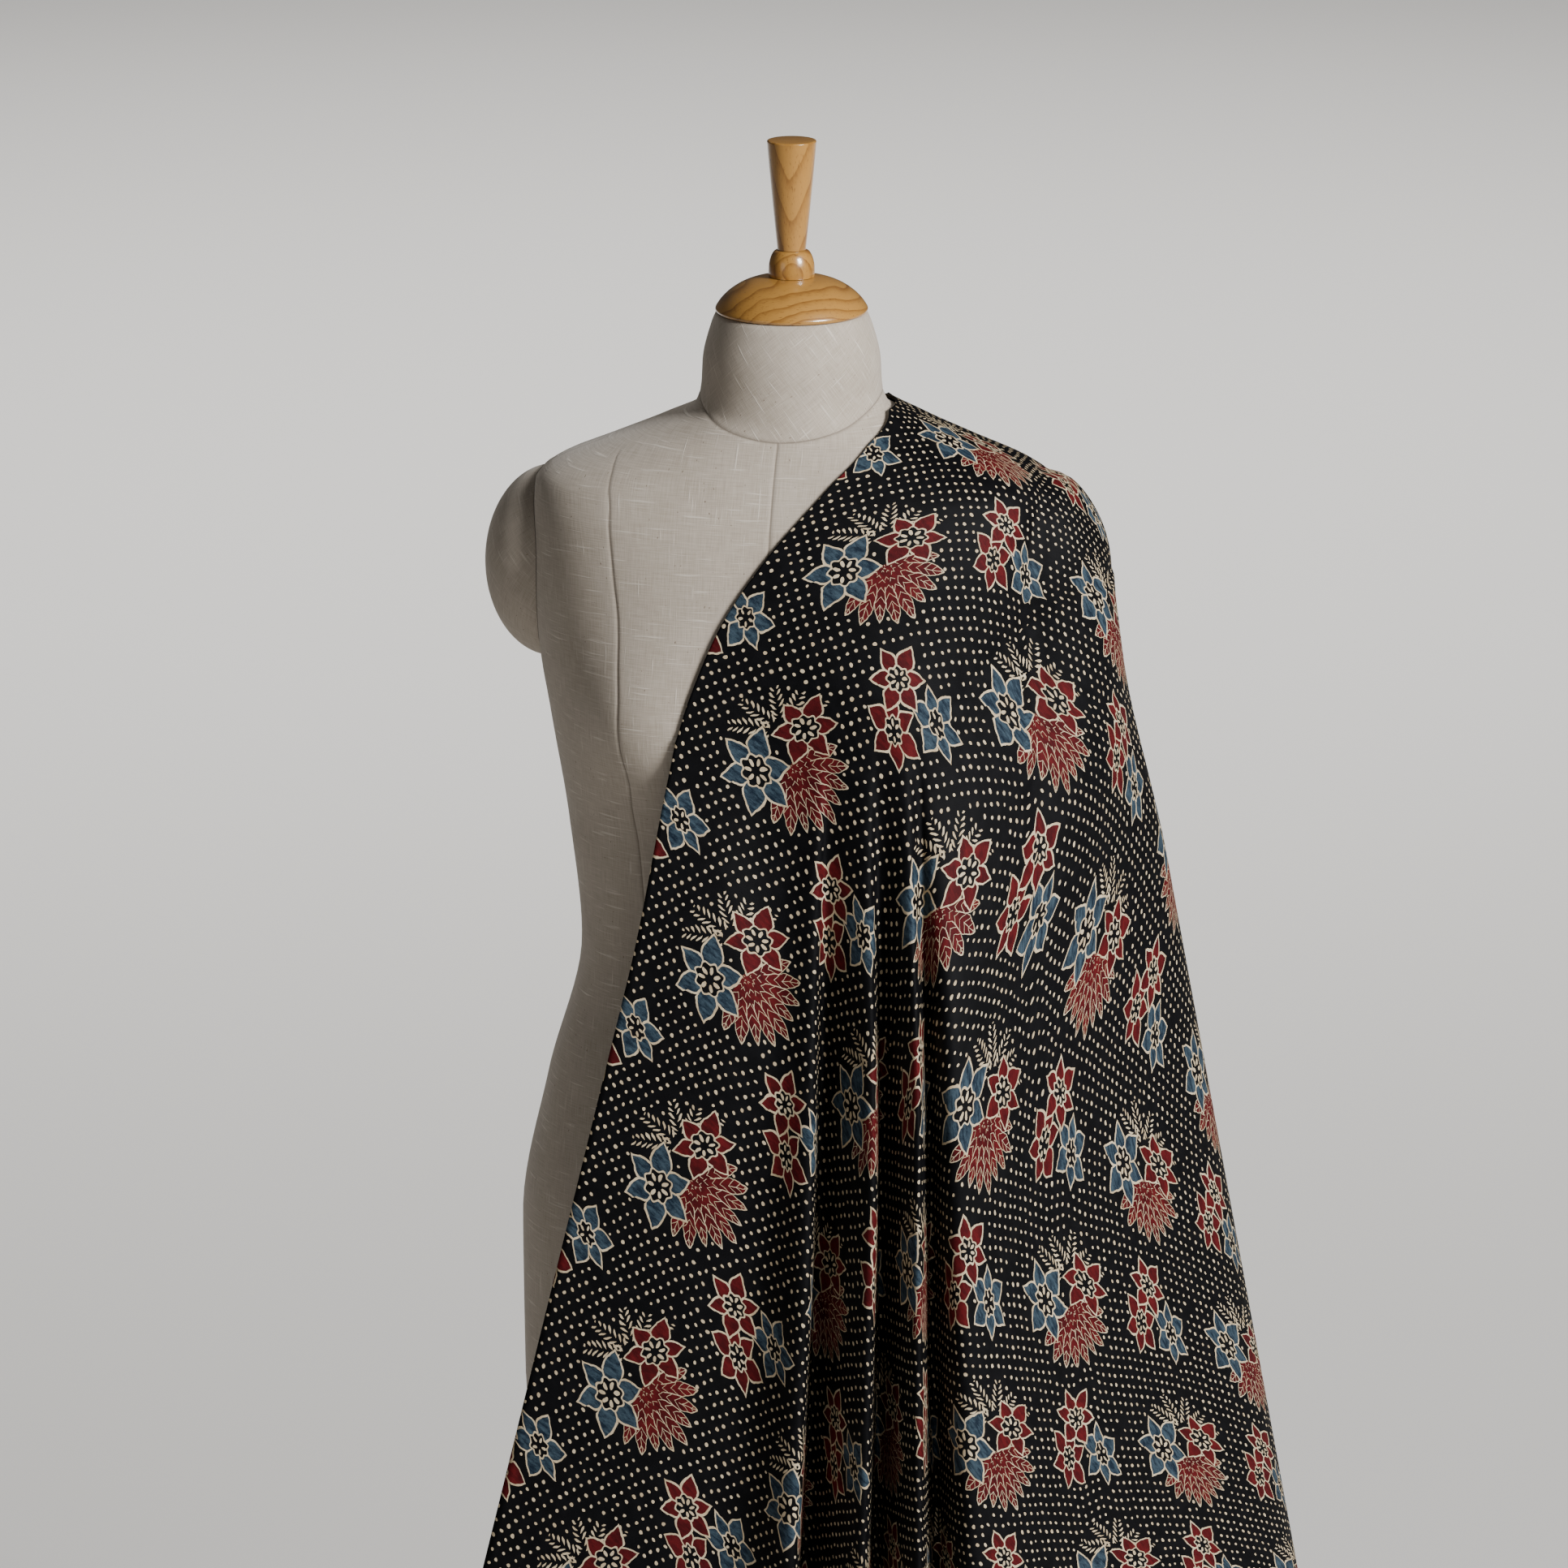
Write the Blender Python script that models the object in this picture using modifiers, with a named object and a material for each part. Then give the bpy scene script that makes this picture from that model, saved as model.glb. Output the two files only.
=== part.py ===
"""An ajrakh cloth hung over one shoulder of a linen-covered dress form on its stand.

Metres, +Z up. The origin is the centre of the foot, on the floor. The form faces -Y, a little to -X.
"""

from math import atan2, cos, hypot, radians, sin

import bmesh
import bpy
from mathutils import Matrix, Vector

# Whole object
OBJECT_NAME = "ajrakh_cloth_on_dress_form"
TOUCH_GAP = 0.0003

# Dress form
FORM_TURN = radians(-8.5)
FORM_BOTTOM = 0.672
NECK_TOP = 1.4722
TORSO_SIDES = 40
TORSO_LEVELS = 30
TORSO_CROWDING = 1.9
# height, half width, depth in front, depth behind, squareness
TORSO_SECTIONS = (
    (0.672, 0.1760, 0.1160, 0.1280, 2.30),
    (0.740, 0.1815, 0.1210, 0.1360, 2.30),
    (0.850, 0.1822, 0.1220, 0.1400, 2.30),
    (0.950, 0.1640, 0.1120, 0.1220, 2.30),
    (1.048, 0.1405, 0.0980, 0.0940, 2.30),
    (1.130, 0.1480, 0.1060, 0.0940, 2.30),
    (1.205, 0.1590, 0.1160, 0.1030, 2.35),
    (1.245, 0.1655, 0.1170, 0.1080, 2.45),
    (1.300, 0.1700, 0.1110, 0.1120, 2.55),
    (1.340, 0.1705, 0.0985, 0.1100, 2.55),
    (1.360, 0.1690, 0.0880, 0.1030, 2.40),
    (1.368, 0.1600, 0.0830, 0.0980, 2.30),
    (1.384, 0.1240, 0.0720, 0.0880, 2.10),
    (1.398, 0.0910, 0.0608, 0.0790, 2.00),
    (1.412, 0.0630, 0.0580, 0.0700, 2.00),
    (1.425, 0.0592, 0.0575, 0.0620, 2.00),
    (1.442, 0.0582, 0.0565, 0.0590, 2.00),
    (1.466, 0.0522, 0.0512, 0.0525, 2.00),
    (1.4722, 0.0495, 0.0488, 0.0498, 2.00),
)
BUST_SIDE = 0.080
BUST_HEIGHT = 1.212
BUST_SPREAD = (0.046, 0.050)
BUST_RISE = 0.017

# Arm caps
ARM_CENTRE = (0.1600, 0.004, 1.2990)
ARM_RADII = (0.0455, 0.0500, 0.0645)
ARM_SIDES = 24
ARM_RINGS = 14

# Turned wood: sides round it, and the radius and height of each point, from the outer top edge down
NECK_CAP_SIDES = 36
NECK_CAP_PROFILE = (
    (0.0155, 1.4955),
    (0.0230, 1.4943),
    (0.0310, 1.4917),
    (0.0390, 1.4872),
    (0.0450, 1.4820),
    (0.0487, 1.4772),
    (0.0500, 1.4745),
    (0.0493, 1.4730),
    (0.0480, 1.4725),
)
NECK_BALL_SIDES = 24
NECK_BALL_PROFILE = (
    (0.0098, 1.5132),
    (0.0112, 1.5126),
    (0.0128, 1.5105),
    (0.0142, 1.5070),
    (0.0150, 1.5030),
    (0.0152, 1.4990),
    (0.0149, 1.4958),
)
FINIAL_SIDES = 24
FINIAL_PROFILE = (
    (0.0153, 1.5856),
    (0.0161, 1.5849),
    (0.0160, 1.5832),
    (0.0149, 1.5700),
    (0.0127, 1.5470),
    (0.0106, 1.5260),
    (0.0093, 1.5135),
)

# Stand
PLATE_RADIUS = 0.080
PLATE_THICKNESS = 0.012
PLATE_SIDES = 32
POLE_RADIUS = 0.0150
POLE_SIDES = 20
FOOT_TOP = 0.0410
COLLAR_SIDES = 28
COLLAR_PROFILE = (
    (0.0190, 0.1200),
    (0.0225, 0.1150),
    (0.0250, 0.0700),
    (0.0360, 0.0480),
    (0.0380, FOOT_TOP + TOUCH_GAP),
)
FOOT_SIDES = 44
FOOT_PROFILE = (
    (0.0900, FOOT_TOP),
    (0.1500, 0.0350),
    (0.1850, 0.0270),
    (0.1980, 0.0180),
    (0.2000, 0.0120),
    (0.1980, 0.0000),
)

# Cloth
CLOTH_THICKNESS = 0.002
CLOTH_CLEARANCE = 0.0026
CLOTH_LIFT = 0.0025
ARM_EASE = 0.0030
ARM_BRIDGE = 0.030
FALL_BRIDGE = 0.006
CLOTH_TOP = 1.4120
REACHES_FREE = 1.220
WAIST = 1.000
HEM_LEVEL = 0.350
SHOULDER_PLACE = 12
SHOULDER_LEVELS = 15
HANGING_LEVELS = 14
HANGING_CROWDING = 1.2
# One row for each fall line, from the front edge round the side to the back edge: its direction round
# the form where the cloth leaves it, the height there, its place at the waist and at the hem, the height
# where its fold is fully formed, the height of its hem, and the columns of faces up to the next line.
FALL_COLUMNS = (
    "name", "leaves_deg", "leaves", "waist_x", "waist_y", "hem_x", "hem_y", "formed", "hem", "faces"
)
FALL_LINES = (
    ("front_edge", -118.0, 1.215, -0.121, -0.148, -0.280, -0.190, 1.06, 0.362, 5),
    ("front_panel", -104.0, 1.215, -0.052, -0.154, -0.150, -0.204, 1.06, 0.352, 4),
    ("panel_turn", -85.0, 1.212, -0.010, -0.155, -0.062, -0.207, 0.96, 0.346, 3),
    ("ridge_3", -78.0, 1.212, 0.017, -0.172, -0.016, -0.248, 0.84, 0.343, 3),
    ("valley_3", -75.0, 1.212, 0.023, -0.142, -0.002, -0.176, 0.84, 0.346, 4),
    ("ridge_2", -67.0, 1.215, 0.054, -0.183, 0.038, -0.268, 0.90, 0.342, 3),
    ("valley_2", -64.0, 1.215, 0.060, -0.151, 0.052, -0.184, 0.90, 0.346, 4),
    ("ridge_1", -59.0, 1.225, 0.081, -0.192, 0.084, -0.280, 0.96, 0.343, 3),
    ("valley_1", -56.0, 1.225, 0.089, -0.164, 0.102, -0.200, 0.96, 0.347, 3),
    ("bust_fall", -51.0, 1.225, 0.106, -0.188, 0.136, -0.275, 0.98, 0.345, 5),
    ("side_front", -31.0, 1.270, 0.152, -0.142, 0.228, -0.202, 1.00, 0.352, 5),
    ("side_hollow", -14.0, 1.295, 0.216, -0.078, 0.322, -0.116, 1.04, 0.360, 4),
    ("side", 2.0, 1.305, 0.2670, -0.012, 0.3900, -0.028, 1.10, 0.362, 4),
    ("side_back", 12.0, 1.300, 0.2590, 0.038, 0.3790, 0.058, 1.08, 0.360, 4),
    ("back_hollow", 24.0, 1.280, 0.222, 0.084, 0.320, 0.128, 1.04, 0.358, 4),
    ("back_ridge_1", 39.0, 1.260, 0.187, 0.140, 0.300, 0.240, 0.96, 0.350, 3),
    ("back_valley_1", 48.0, 1.250, 0.157, 0.118, 0.238, 0.166, 0.96, 0.352, 3),
    ("back_ridge_2", 60.0, 1.250, 0.112, 0.168, 0.164, 0.272, 0.92, 0.344, 3),
    ("back_valley_2", 68.0, 1.250, 0.082, 0.140, 0.106, 0.180, 0.92, 0.348, 3),
    ("back_ridge_3", 80.0, 1.250, 0.032, 0.174, 0.030, 0.266, 0.88, 0.344, 3),
    ("back_valley_3", 87.0, 1.250, 0.008, 0.150, -0.024, 0.184, 0.88, 0.348, 4),
    ("back_panel", 104.0, 1.240, -0.056, 0.156, -0.134, 0.214, 1.00, 0.352, 4),
    ("back_edge", 119.0, 1.235, -0.122, 0.144, -0.236, 0.194, 1.02, 0.362, 0),
)
# Where the cloth's two edges lie on the form: height, and the direction of the front and back edge
EDGE_LINES = (
    (1.210, -123.0, 121.0),
    (1.243, -119.5, 118.0),
    (1.283, -113.5, 113.0),
    (1.328, -100.0, 101.0),
    (1.373, -75.0, 79.0),
    (1.396, -52.0, 58.0),
    (1.405, -38.0, 42.0),
    (1.412, -20.0, 24.0),
)

# Colours from the photograph, scene-linear
CLOTH_COLOUR = (0.012, 0.012, 0.016)
LINEN_COLOUR = (0.42, 0.37, 0.31)
WOOD_COLOUR = (0.46, 0.24, 0.075)
STEEL_COLOUR = (0.03, 0.03, 0.03)


def clear_scene():
    for old in list(bpy.data.objects):
        bpy.data.objects.remove(old, do_unlink=True)


def new_collection(name):
    made = bpy.data.collections.new(name)
    bpy.context.scene.collection.children.link(made)
    return made


def new_material(name, colour, roughness, metallic=0.0):
    made = bpy.data.materials.new(name)
    made.use_nodes = True
    shader = made.node_tree.nodes["Principled BSDF"]
    shader.inputs["Base Color"].default_value = (*colour, 1.0)
    shader.inputs["Roughness"].default_value = roughness
    shader.inputs["Metallic"].default_value = metallic
    return made


def add_object(name, mesh, material, collection, crease=40.0):
    placed = bpy.data.objects.new(name, mesh)
    mesh.materials.append(material)
    mesh.shade_smooth()
    mesh.set_sharp_from_angle(angle=radians(crease))
    collection.objects.link(placed)
    return placed


def ease(t):
    """A soft step from 0 to 1."""
    t = min(max(t, 0.0), 1.0)
    return t * t * (3.0 - 2.0 * t)


def softer_max(a, b, blend):
    """The larger of two lengths, rounded where they are within blend of each other."""
    overlap = max(blend - abs(a - b), 0.0)
    return max(a, b) + overlap * overlap / (4.0 * blend)


def curve_through(knots, values, at):
    """A smooth curve through the values, which never swings past them, read at one place."""
    last = len(knots) - 1
    if at <= knots[0]:
        return values[0]
    if at >= knots[last]:
        return values[last]
    rises = [(values[i + 1] - values[i]) / (knots[i + 1] - knots[i]) for i in range(last)]

    def slope(i):
        if i == 0 or i == last:
            return rises[min(i, last - 1)]
        before, after = rises[i - 1], rises[i]
        return 0.0 if before * after <= 0.0 else 2.0 * before * after / (before + after)

    i = next(k for k in range(last) if at <= knots[k + 1])
    span = knots[i + 1] - knots[i]
    t = (at - knots[i]) / span
    start = values[i] * (1.0 + 2.0 * t) + slope(i) * span * t
    end = values[i + 1] * (3.0 - 2.0 * t) - slope(i + 1) * span * (1.0 - t)
    return start * (1.0 - t) ** 2 + end * t * t


def table_row(table, at):
    """Each column after the first, read from the table at a height."""
    knots = [row[0] for row in table]
    return [curve_through(knots, [row[k] for row in table], at) for k in range(1, len(table[0]))]


def torso_radius(direction, height):
    """Distance from the form's axis to its surface, in a direction round it."""
    turned = direction - FORM_TURN
    half_width, front, back, squareness = table_row(TORSO_SECTIONS, height)
    across = abs(cos(turned)) / half_width
    along = abs(sin(turned)) / (front if sin(turned) < 0.0 else back)
    radius = (across**squareness + along**squareness) ** (-1.0 / squareness)
    if sin(turned) < 0.0:
        from_bust = (abs(radius * cos(turned)) - BUST_SIDE) / BUST_SPREAD[0]
        from_level = (height - BUST_HEIGHT) / BUST_SPREAD[1]
        facing = min(1.0, -3.0 * sin(turned))
        radius += BUST_RISE * facing * 2.718 ** (-(from_bust**2) - from_level**2)
    return radius


def arm_radius(direction, height):
    """Distance from the form's axis to the far side of the covered arm cap, or 0 where it misses."""
    turned = direction - FORM_TURN
    a, b, c = (radius + ARM_EASE for radius in ARM_RADII)
    level = 1.0 - ((height - ARM_CENTRE[2]) / c) ** 2
    if level <= 0.0:
        return 0.0
    cx, cy = ARM_CENTRE[0], ARM_CENTRE[1]
    square = (cos(turned) / a) ** 2 + (sin(turned) / b) ** 2
    linear = cos(turned) * cx / a**2 + sin(turned) * cy / b**2
    rest = (cx / a) ** 2 + (cy / b) ** 2 - level
    inside = linear**2 - square * rest
    return (linear + inside**0.5) / square if inside > 0.0 else 0.0


def cover_radius(direction, height):
    """The form and its arm cap as a cloth laid over them bridges them."""
    return softer_max(torso_radius(direction, height), arm_radius(direction, height), ARM_BRIDGE)


def build_torso_mesh(swell=0.0):
    """A closed tube of sections, shaped from a capped cylinder."""
    mesh = bpy.data.meshes.new("form_torso")
    shape = bmesh.new()
    bmesh.ops.create_cone(
        shape, cap_ends=True, segments=TORSO_SIDES, radius1=1.0, radius2=1.0, depth=1.0
    )
    uprights = [edge for edge in shape.edges if abs(edge.verts[0].co.z - edge.verts[1].co.z) > 0.5]
    bmesh.ops.subdivide_edges(shape, edges=uprights, cuts=TORSO_LEVELS - 1)
    for vertex in shape.verts:
        share = vertex.co.z + 0.5
        # more levels towards the shoulder, where the form changes fastest
        risen = 1.0 - (1.0 - share) ** TORSO_CROWDING
        height = FORM_BOTTOM + (NECK_TOP - FORM_BOTTOM) * risen
        direction = atan2(vertex.co.y, vertex.co.x)
        radius = torso_radius(direction, height) + swell
        vertex.co = Vector((radius * cos(direction), radius * sin(direction), height))
    # the same triangles in the torso and in the cutter, so that one lies wholly inside the other
    bmesh.ops.triangulate(shape, faces=shape.faces, quad_method="FIXED")
    shape.to_mesh(mesh)
    shape.free()
    return mesh


def build_torso(collection, material):
    return add_object("form_torso", build_torso_mesh(), material, collection)


def build_arm_cap(name, side, collection, cutters, material):
    """A padded oval cap, cut to lie on the side of the torso."""
    cutter = bpy.data.objects.new(name + "_cutter", build_torso_mesh(TOUCH_GAP))
    cutter.hide_render = True
    cutter.display_type = "WIRE"
    cutters.objects.link(cutter)
    mesh = bpy.data.meshes.new(name)
    shape = bmesh.new()
    bmesh.ops.create_uvsphere(shape, u_segments=ARM_SIDES, v_segments=ARM_RINGS, radius=1.0)
    centre = Vector((side * ARM_CENTRE[0], ARM_CENTRE[1], ARM_CENTRE[2]))
    place = Matrix.Rotation(FORM_TURN, 4, "Z") @ Matrix.Translation(centre)
    bmesh.ops.transform(shape, matrix=place @ Matrix.Diagonal((*ARM_RADII, 1.0)), verts=shape.verts)
    shape.to_mesh(mesh)
    shape.free()
    cap = add_object(name, mesh, material, collection)
    cut = cap.modifiers.new("armhole", "BOOLEAN")
    cut.operation = "DIFFERENCE"
    cut.object = cutter
    return cap


def build_turned(name, profile, sides, collection, material):
    """A lathe-turned piece: its profile from the top edge down, closed to the axis at both ends."""
    mesh = bpy.data.meshes.new(name)
    shape = bmesh.new()
    outline = [(0.0, profile[0][1]), *profile, (0.0, profile[-1][1])]
    points = [shape.verts.new((radius, 0.0, height)) for radius, height in outline]
    for upper, lower in zip(points, points[1:]):
        shape.edges.new((upper, lower))
    shape.to_mesh(mesh)
    shape.free()
    piece = add_object(name, mesh, material, collection)
    turn = piece.modifiers.new("turned", "SCREW")
    turn.steps = sides
    turn.render_steps = sides
    turn.use_merge_vertices = True
    turn.merge_threshold = 0.00001
    turn.use_smooth_shade = True
    return piece


def build_stand(collection, wood, steel):
    """The plate under the form, the pole, its collar and the round foot."""
    plate_top = FORM_BOTTOM - TOUCH_GAP
    plate_foot = plate_top - PLATE_THICKNESS
    plate = ((PLATE_RADIUS, plate_top), (PLATE_RADIUS, plate_foot))
    build_turned("base_plate", plate, PLATE_SIDES, collection, wood)
    build_turned("stand_foot", FOOT_PROFILE, FOOT_SIDES, collection, wood)
    build_turned("pole_collar", COLLAR_PROFILE, COLLAR_SIDES, collection, wood)
    collar_top = COLLAR_PROFILE[0][1]
    pole = ((POLE_RADIUS, plate_foot - TOUCH_GAP), (POLE_RADIUS, collar_top + TOUCH_GAP))
    build_turned("stand_pole", pole, POLE_SIDES, collection, steel)


def line_value(column, place):
    """One column of the fall lines, read between two lines by a curve through their neighbours."""
    k = FALL_COLUMNS.index(column)
    last = len(FALL_LINES) - 1
    i = min(int(place), last - 1)
    t = place - i
    rows = [FALL_LINES[min(max(i + step, 0), last)][k] for step in (-1, 0, 1, 2)]
    leave = 0.5 * (rows[2] - rows[0])
    arrive = 0.5 * (rows[3] - rows[1])
    start = rows[1] * (1.0 + 2.0 * t) + leave * t
    end = rows[2] * (3.0 - 2.0 * t) - arrive * (1.0 - t)
    return start * (1.0 - t) ** 2 + end * t * t


def on_form(place, height):
    """Where the cloth lies on the form: the fall lines close up towards the neck."""
    front, back = (radians(value) for value in table_row(EDGE_LINES, height))
    first = FALL_LINES[0][1]
    final = FALL_LINES[-1][1]
    share = (line_value("leaves_deg", place) - first) / (final - first)
    direction = front + (back - front) * share
    radius = cover_radius(direction, height - CLOTH_LIFT) + CLOTH_CLEARANCE
    return Vector((radius * cos(direction), radius * sin(direction)))


def fall_line(place, height):
    """The straight line that a fold falls along, through its places at the waist and the hem."""
    t = (WAIST - height) / (WAIST - HEM_LEVEL)
    waist = Vector((line_value("waist_x", place), line_value("waist_y", place)))
    hem = Vector((line_value("hem_x", place), line_value("hem_y", place)))
    return waist.lerp(hem, t)


def cloth_point(place, level):
    """A point of the middle of the cloth: its place across, and its height before the hem is let down."""
    drop = (REACHES_FREE - level) / (REACHES_FREE - HEM_LEVEL)
    height = level + (line_value("hem", place) - HEM_LEVEL) * max(drop, 0.0)
    leaves = line_value("leaves", place)
    if height >= leaves:
        spot = on_form(place, height)
    else:
        hangs = ease((leaves - height) / (leaves - line_value("formed", place)))
        apart = on_form(place, leaves) - fall_line(place, leaves)
        spot = fall_line(place, height) + apart * (1.0 - hangs)
        if height > FORM_BOTTOM:
            reach = spot.length
            least = cover_radius(atan2(spot.y, spot.x), height) + CLOTH_CLEARANCE
            spot *= softer_max(reach, least, FALL_BRIDGE) / reach
    return Vector((spot.x, spot.y, height))


def shoulder_levels():
    """Heights evenly spaced along the cloth's path over the shoulder and the arm cap."""
    samples = 240
    heights = [CLOTH_TOP - (CLOTH_TOP - REACHES_FREE) * k / samples for k in range(samples + 1)]
    path = [on_form(SHOULDER_PLACE, height).length for height in heights]
    lengths = [0.0]
    for k in range(samples):
        lengths.append(lengths[-1] + hypot(path[k + 1] - path[k], heights[k + 1] - heights[k]))
    step = lengths[-1] / SHOULDER_LEVELS
    levels = []
    for k, height in enumerate(heights):
        if len(levels) < SHOULDER_LEVELS and lengths[k] >= step * len(levels) - 1e-9:
            levels.append(height)
    return levels


def cloth_levels():
    """Heights of the rows of faces, from the shoulder down to the hem."""
    below = [
        REACHES_FREE - (REACHES_FREE - HEM_LEVEL) * (k / HANGING_LEVELS) ** HANGING_CROWDING
        for k in range(HANGING_LEVELS + 1)
    ]
    return shoulder_levels() + below


def cloth_places():
    """Places across the cloth: whole numbers are the fall lines, with faces between them."""
    places = []
    for i, row in enumerate(FALL_LINES[:-1]):
        faces = row[FALL_COLUMNS.index("faces")]
        places += [i + k / faces for k in range(faces)]
    return places + [len(FALL_LINES) - 1.0]


def build_cloth(collection, material):
    """One sheet: a grid laid over the shoulder and let fall, with the cloth's thickness."""
    places = cloth_places()
    levels = cloth_levels()
    mesh = bpy.data.meshes.new("ajrakh_cloth")
    sheet = bmesh.new()
    across, down = len(places) - 1, len(levels) - 1
    bmesh.ops.create_grid(sheet, x_segments=across, y_segments=down, size=0.5)
    for vertex in sheet.verts:
        column = round((vertex.co.x + 0.5) * across)
        row = round((0.5 - vertex.co.y) * down)
        vertex.co = cloth_point(places[column], levels[row])
    bmesh.ops.recalc_face_normals(sheet, faces=sheet.faces)
    sheet.to_mesh(mesh)
    sheet.free()
    cloth = add_object("ajrakh_cloth", mesh, material, collection)
    wall = cloth.modifiers.new("thickness", "SOLIDIFY")
    wall.thickness = CLOTH_THICKNESS
    wall.offset = 0.0
    wall.use_even_offset = False
    return cloth


def main():
    clear_scene()
    parts = new_collection(OBJECT_NAME)
    cutters = new_collection("cutters")
    linen = new_material("linen", LINEN_COLOUR, 0.9)
    wood = new_material("varnished_wood", WOOD_COLOUR, 0.3)
    steel = new_material("painted_steel", STEEL_COLOUR, 0.45)
    print_cloth = new_material("printed_cotton", CLOTH_COLOUR, 0.85)
    build_torso(parts, linen)
    build_arm_cap("arm_cap_left", -1.0, parts, cutters, linen)
    build_arm_cap("arm_cap_right", 1.0, parts, cutters, linen)
    build_turned("neck_cap", NECK_CAP_PROFILE, NECK_CAP_SIDES, parts, wood)
    build_turned("neck_ball", NECK_BALL_PROFILE, NECK_BALL_SIDES, parts, wood)
    build_turned("finial", FINIAL_PROFILE, FINIAL_SIDES, parts, wood)
    build_stand(parts, wood, steel)
    build_cloth(parts, print_cloth)


main()
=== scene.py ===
"""A length of ajrakh cloth hung over one shoulder of a linen dress form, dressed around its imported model."""

from functools import lru_cache
from math import atan2, cos, exp, hypot, pi, radians, sin

import bmesh
import bpy
from mathutils import Matrix, Vector


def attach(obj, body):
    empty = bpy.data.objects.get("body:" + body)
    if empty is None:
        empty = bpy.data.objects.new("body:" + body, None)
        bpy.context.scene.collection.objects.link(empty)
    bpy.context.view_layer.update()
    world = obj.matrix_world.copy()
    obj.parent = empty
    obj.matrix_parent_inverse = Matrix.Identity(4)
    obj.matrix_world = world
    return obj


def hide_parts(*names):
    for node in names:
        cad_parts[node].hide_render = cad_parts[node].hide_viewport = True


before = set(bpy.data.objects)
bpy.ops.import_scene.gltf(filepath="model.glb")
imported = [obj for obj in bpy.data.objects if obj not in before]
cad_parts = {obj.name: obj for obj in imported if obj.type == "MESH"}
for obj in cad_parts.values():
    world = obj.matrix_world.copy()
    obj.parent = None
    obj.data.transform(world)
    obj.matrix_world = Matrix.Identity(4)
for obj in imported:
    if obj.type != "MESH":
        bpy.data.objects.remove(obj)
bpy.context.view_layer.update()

# ---- Camera
# A long lens in front of the form, higher than its head, looks a little down on it. It frames the form from
# the handle to the hips.
LENS_ANGLE = radians(12.894)
eye = Vector((0.0, -4.45, 2.38))
looked_at = Vector((-0.005, 0.0, 1.152))
camera = bpy.data.objects.new("camera", bpy.data.cameras.new("camera"))
camera.location = eye
camera.rotation_euler = (looked_at - eye).to_track_quat("-Z", "Y").to_euler()
camera.data.sensor_width = 36.0
camera.data.angle = LENS_ANGLE
camera.data.clip_end = 100.0
bpy.context.scene.collection.objects.link(camera)
bpy.context.scene.camera = camera


# ---- Studio
# A wide pale floor that reaches past the view on every side, one soft lamp high on the right in front, a
# weak one on the left, a wide one over the floor behind, and an even pale room light.
FLOOR_HALF_WIDTH = 16.0
FLOOR_COLOUR = (0.74, 0.72, 0.69, 1.0)
ROOM_COLOUR, ROOM_STRENGTH = (1.0, 0.98, 0.95, 1.0), 0.055
# Lamps: name, place, what it is aimed at, power in watts, size in metres
LAMPS = (
    ("key", (2.0, -1.9, 2.8), (0.0, 0.0, 1.1), 185.0, 0.9),
    ("fill", (-3.0, -3.0, 2.0), (0.0, 0.0, 1.1), 8.0, 1.6),
    ("floor_wash", (0.0, 6.5, 4.2), (0.0, 7.0, 0.0), 520.0, 7.0),
)


def link_object(name, data):
    """An object at the origin, in the scene."""
    linked = bpy.data.objects.new(name, data)
    bpy.context.scene.collection.objects.link(linked)
    return linked


def add_piece(name, shape):
    """A piece with outward faces and soft shading, made from a bmesh."""
    bmesh.ops.recalc_face_normals(shape, faces=shape.faces)
    mesh = bpy.data.meshes.new(name)
    shape.to_mesh(mesh)
    shape.free()
    mesh.shade_smooth()
    return link_object(name, mesh)


def new_material(name, roughness):
    """A material, its node tree and its shader."""
    made = bpy.data.materials.new(name)
    made.use_nodes = True
    shader = made.node_tree.nodes["Principled BSDF"]
    shader.inputs["Roughness"].default_value = roughness
    return made, made.node_tree, shader


floor_shape = bmesh.new()
bmesh.ops.create_grid(floor_shape, x_segments=8, y_segments=8, size=FLOOR_HALF_WIDTH)
floor = add_piece("studio_floor", floor_shape)
floor_finish, floor_tree, floor_shader = new_material("pale_floor", 0.9)
floor_shader.inputs["Base Color"].default_value = FLOOR_COLOUR
floor.data.materials.append(floor_finish)

for lamp_name, lamp_place, aimed_at, lamp_power, lamp_size in LAMPS:
    lamp = bpy.data.lights.new(lamp_name, "AREA")
    lamp.energy = lamp_power
    lamp.size = lamp_size
    lamp_stand = link_object(lamp_name, lamp)
    lamp_stand.location = lamp_place
    lamp_aim = Vector(aimed_at) - Vector(lamp_place)
    lamp_stand.rotation_euler = lamp_aim.to_track_quat("-Z", "Y").to_euler()
    lamp_stand.visible_glossy = lamp_name != "floor_wash"
    lamp_stand.visible_camera = False
room = bpy.data.worlds.new("room")
room.use_nodes = True
room_light = room.node_tree.nodes["Background"]
room_light.inputs["Color"].default_value = ROOM_COLOUR
room_light.inputs["Strength"].default_value = ROOM_STRENGTH
bpy.context.scene.world = room


# ---- Padded torso of the dress form
# A stuffed shell covered in natural slubbed linen. The cover is cut in panels, sewn down the front, over the
# bust and round the neck, and the seams pull it into shallow grooves.
FORM_TURN = radians(-8.5)
FORM_FRONT = FORM_TURN - pi / 2.0
FORM_BOTTOM, NECK_TOP = 0.672, 1.4722
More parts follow.
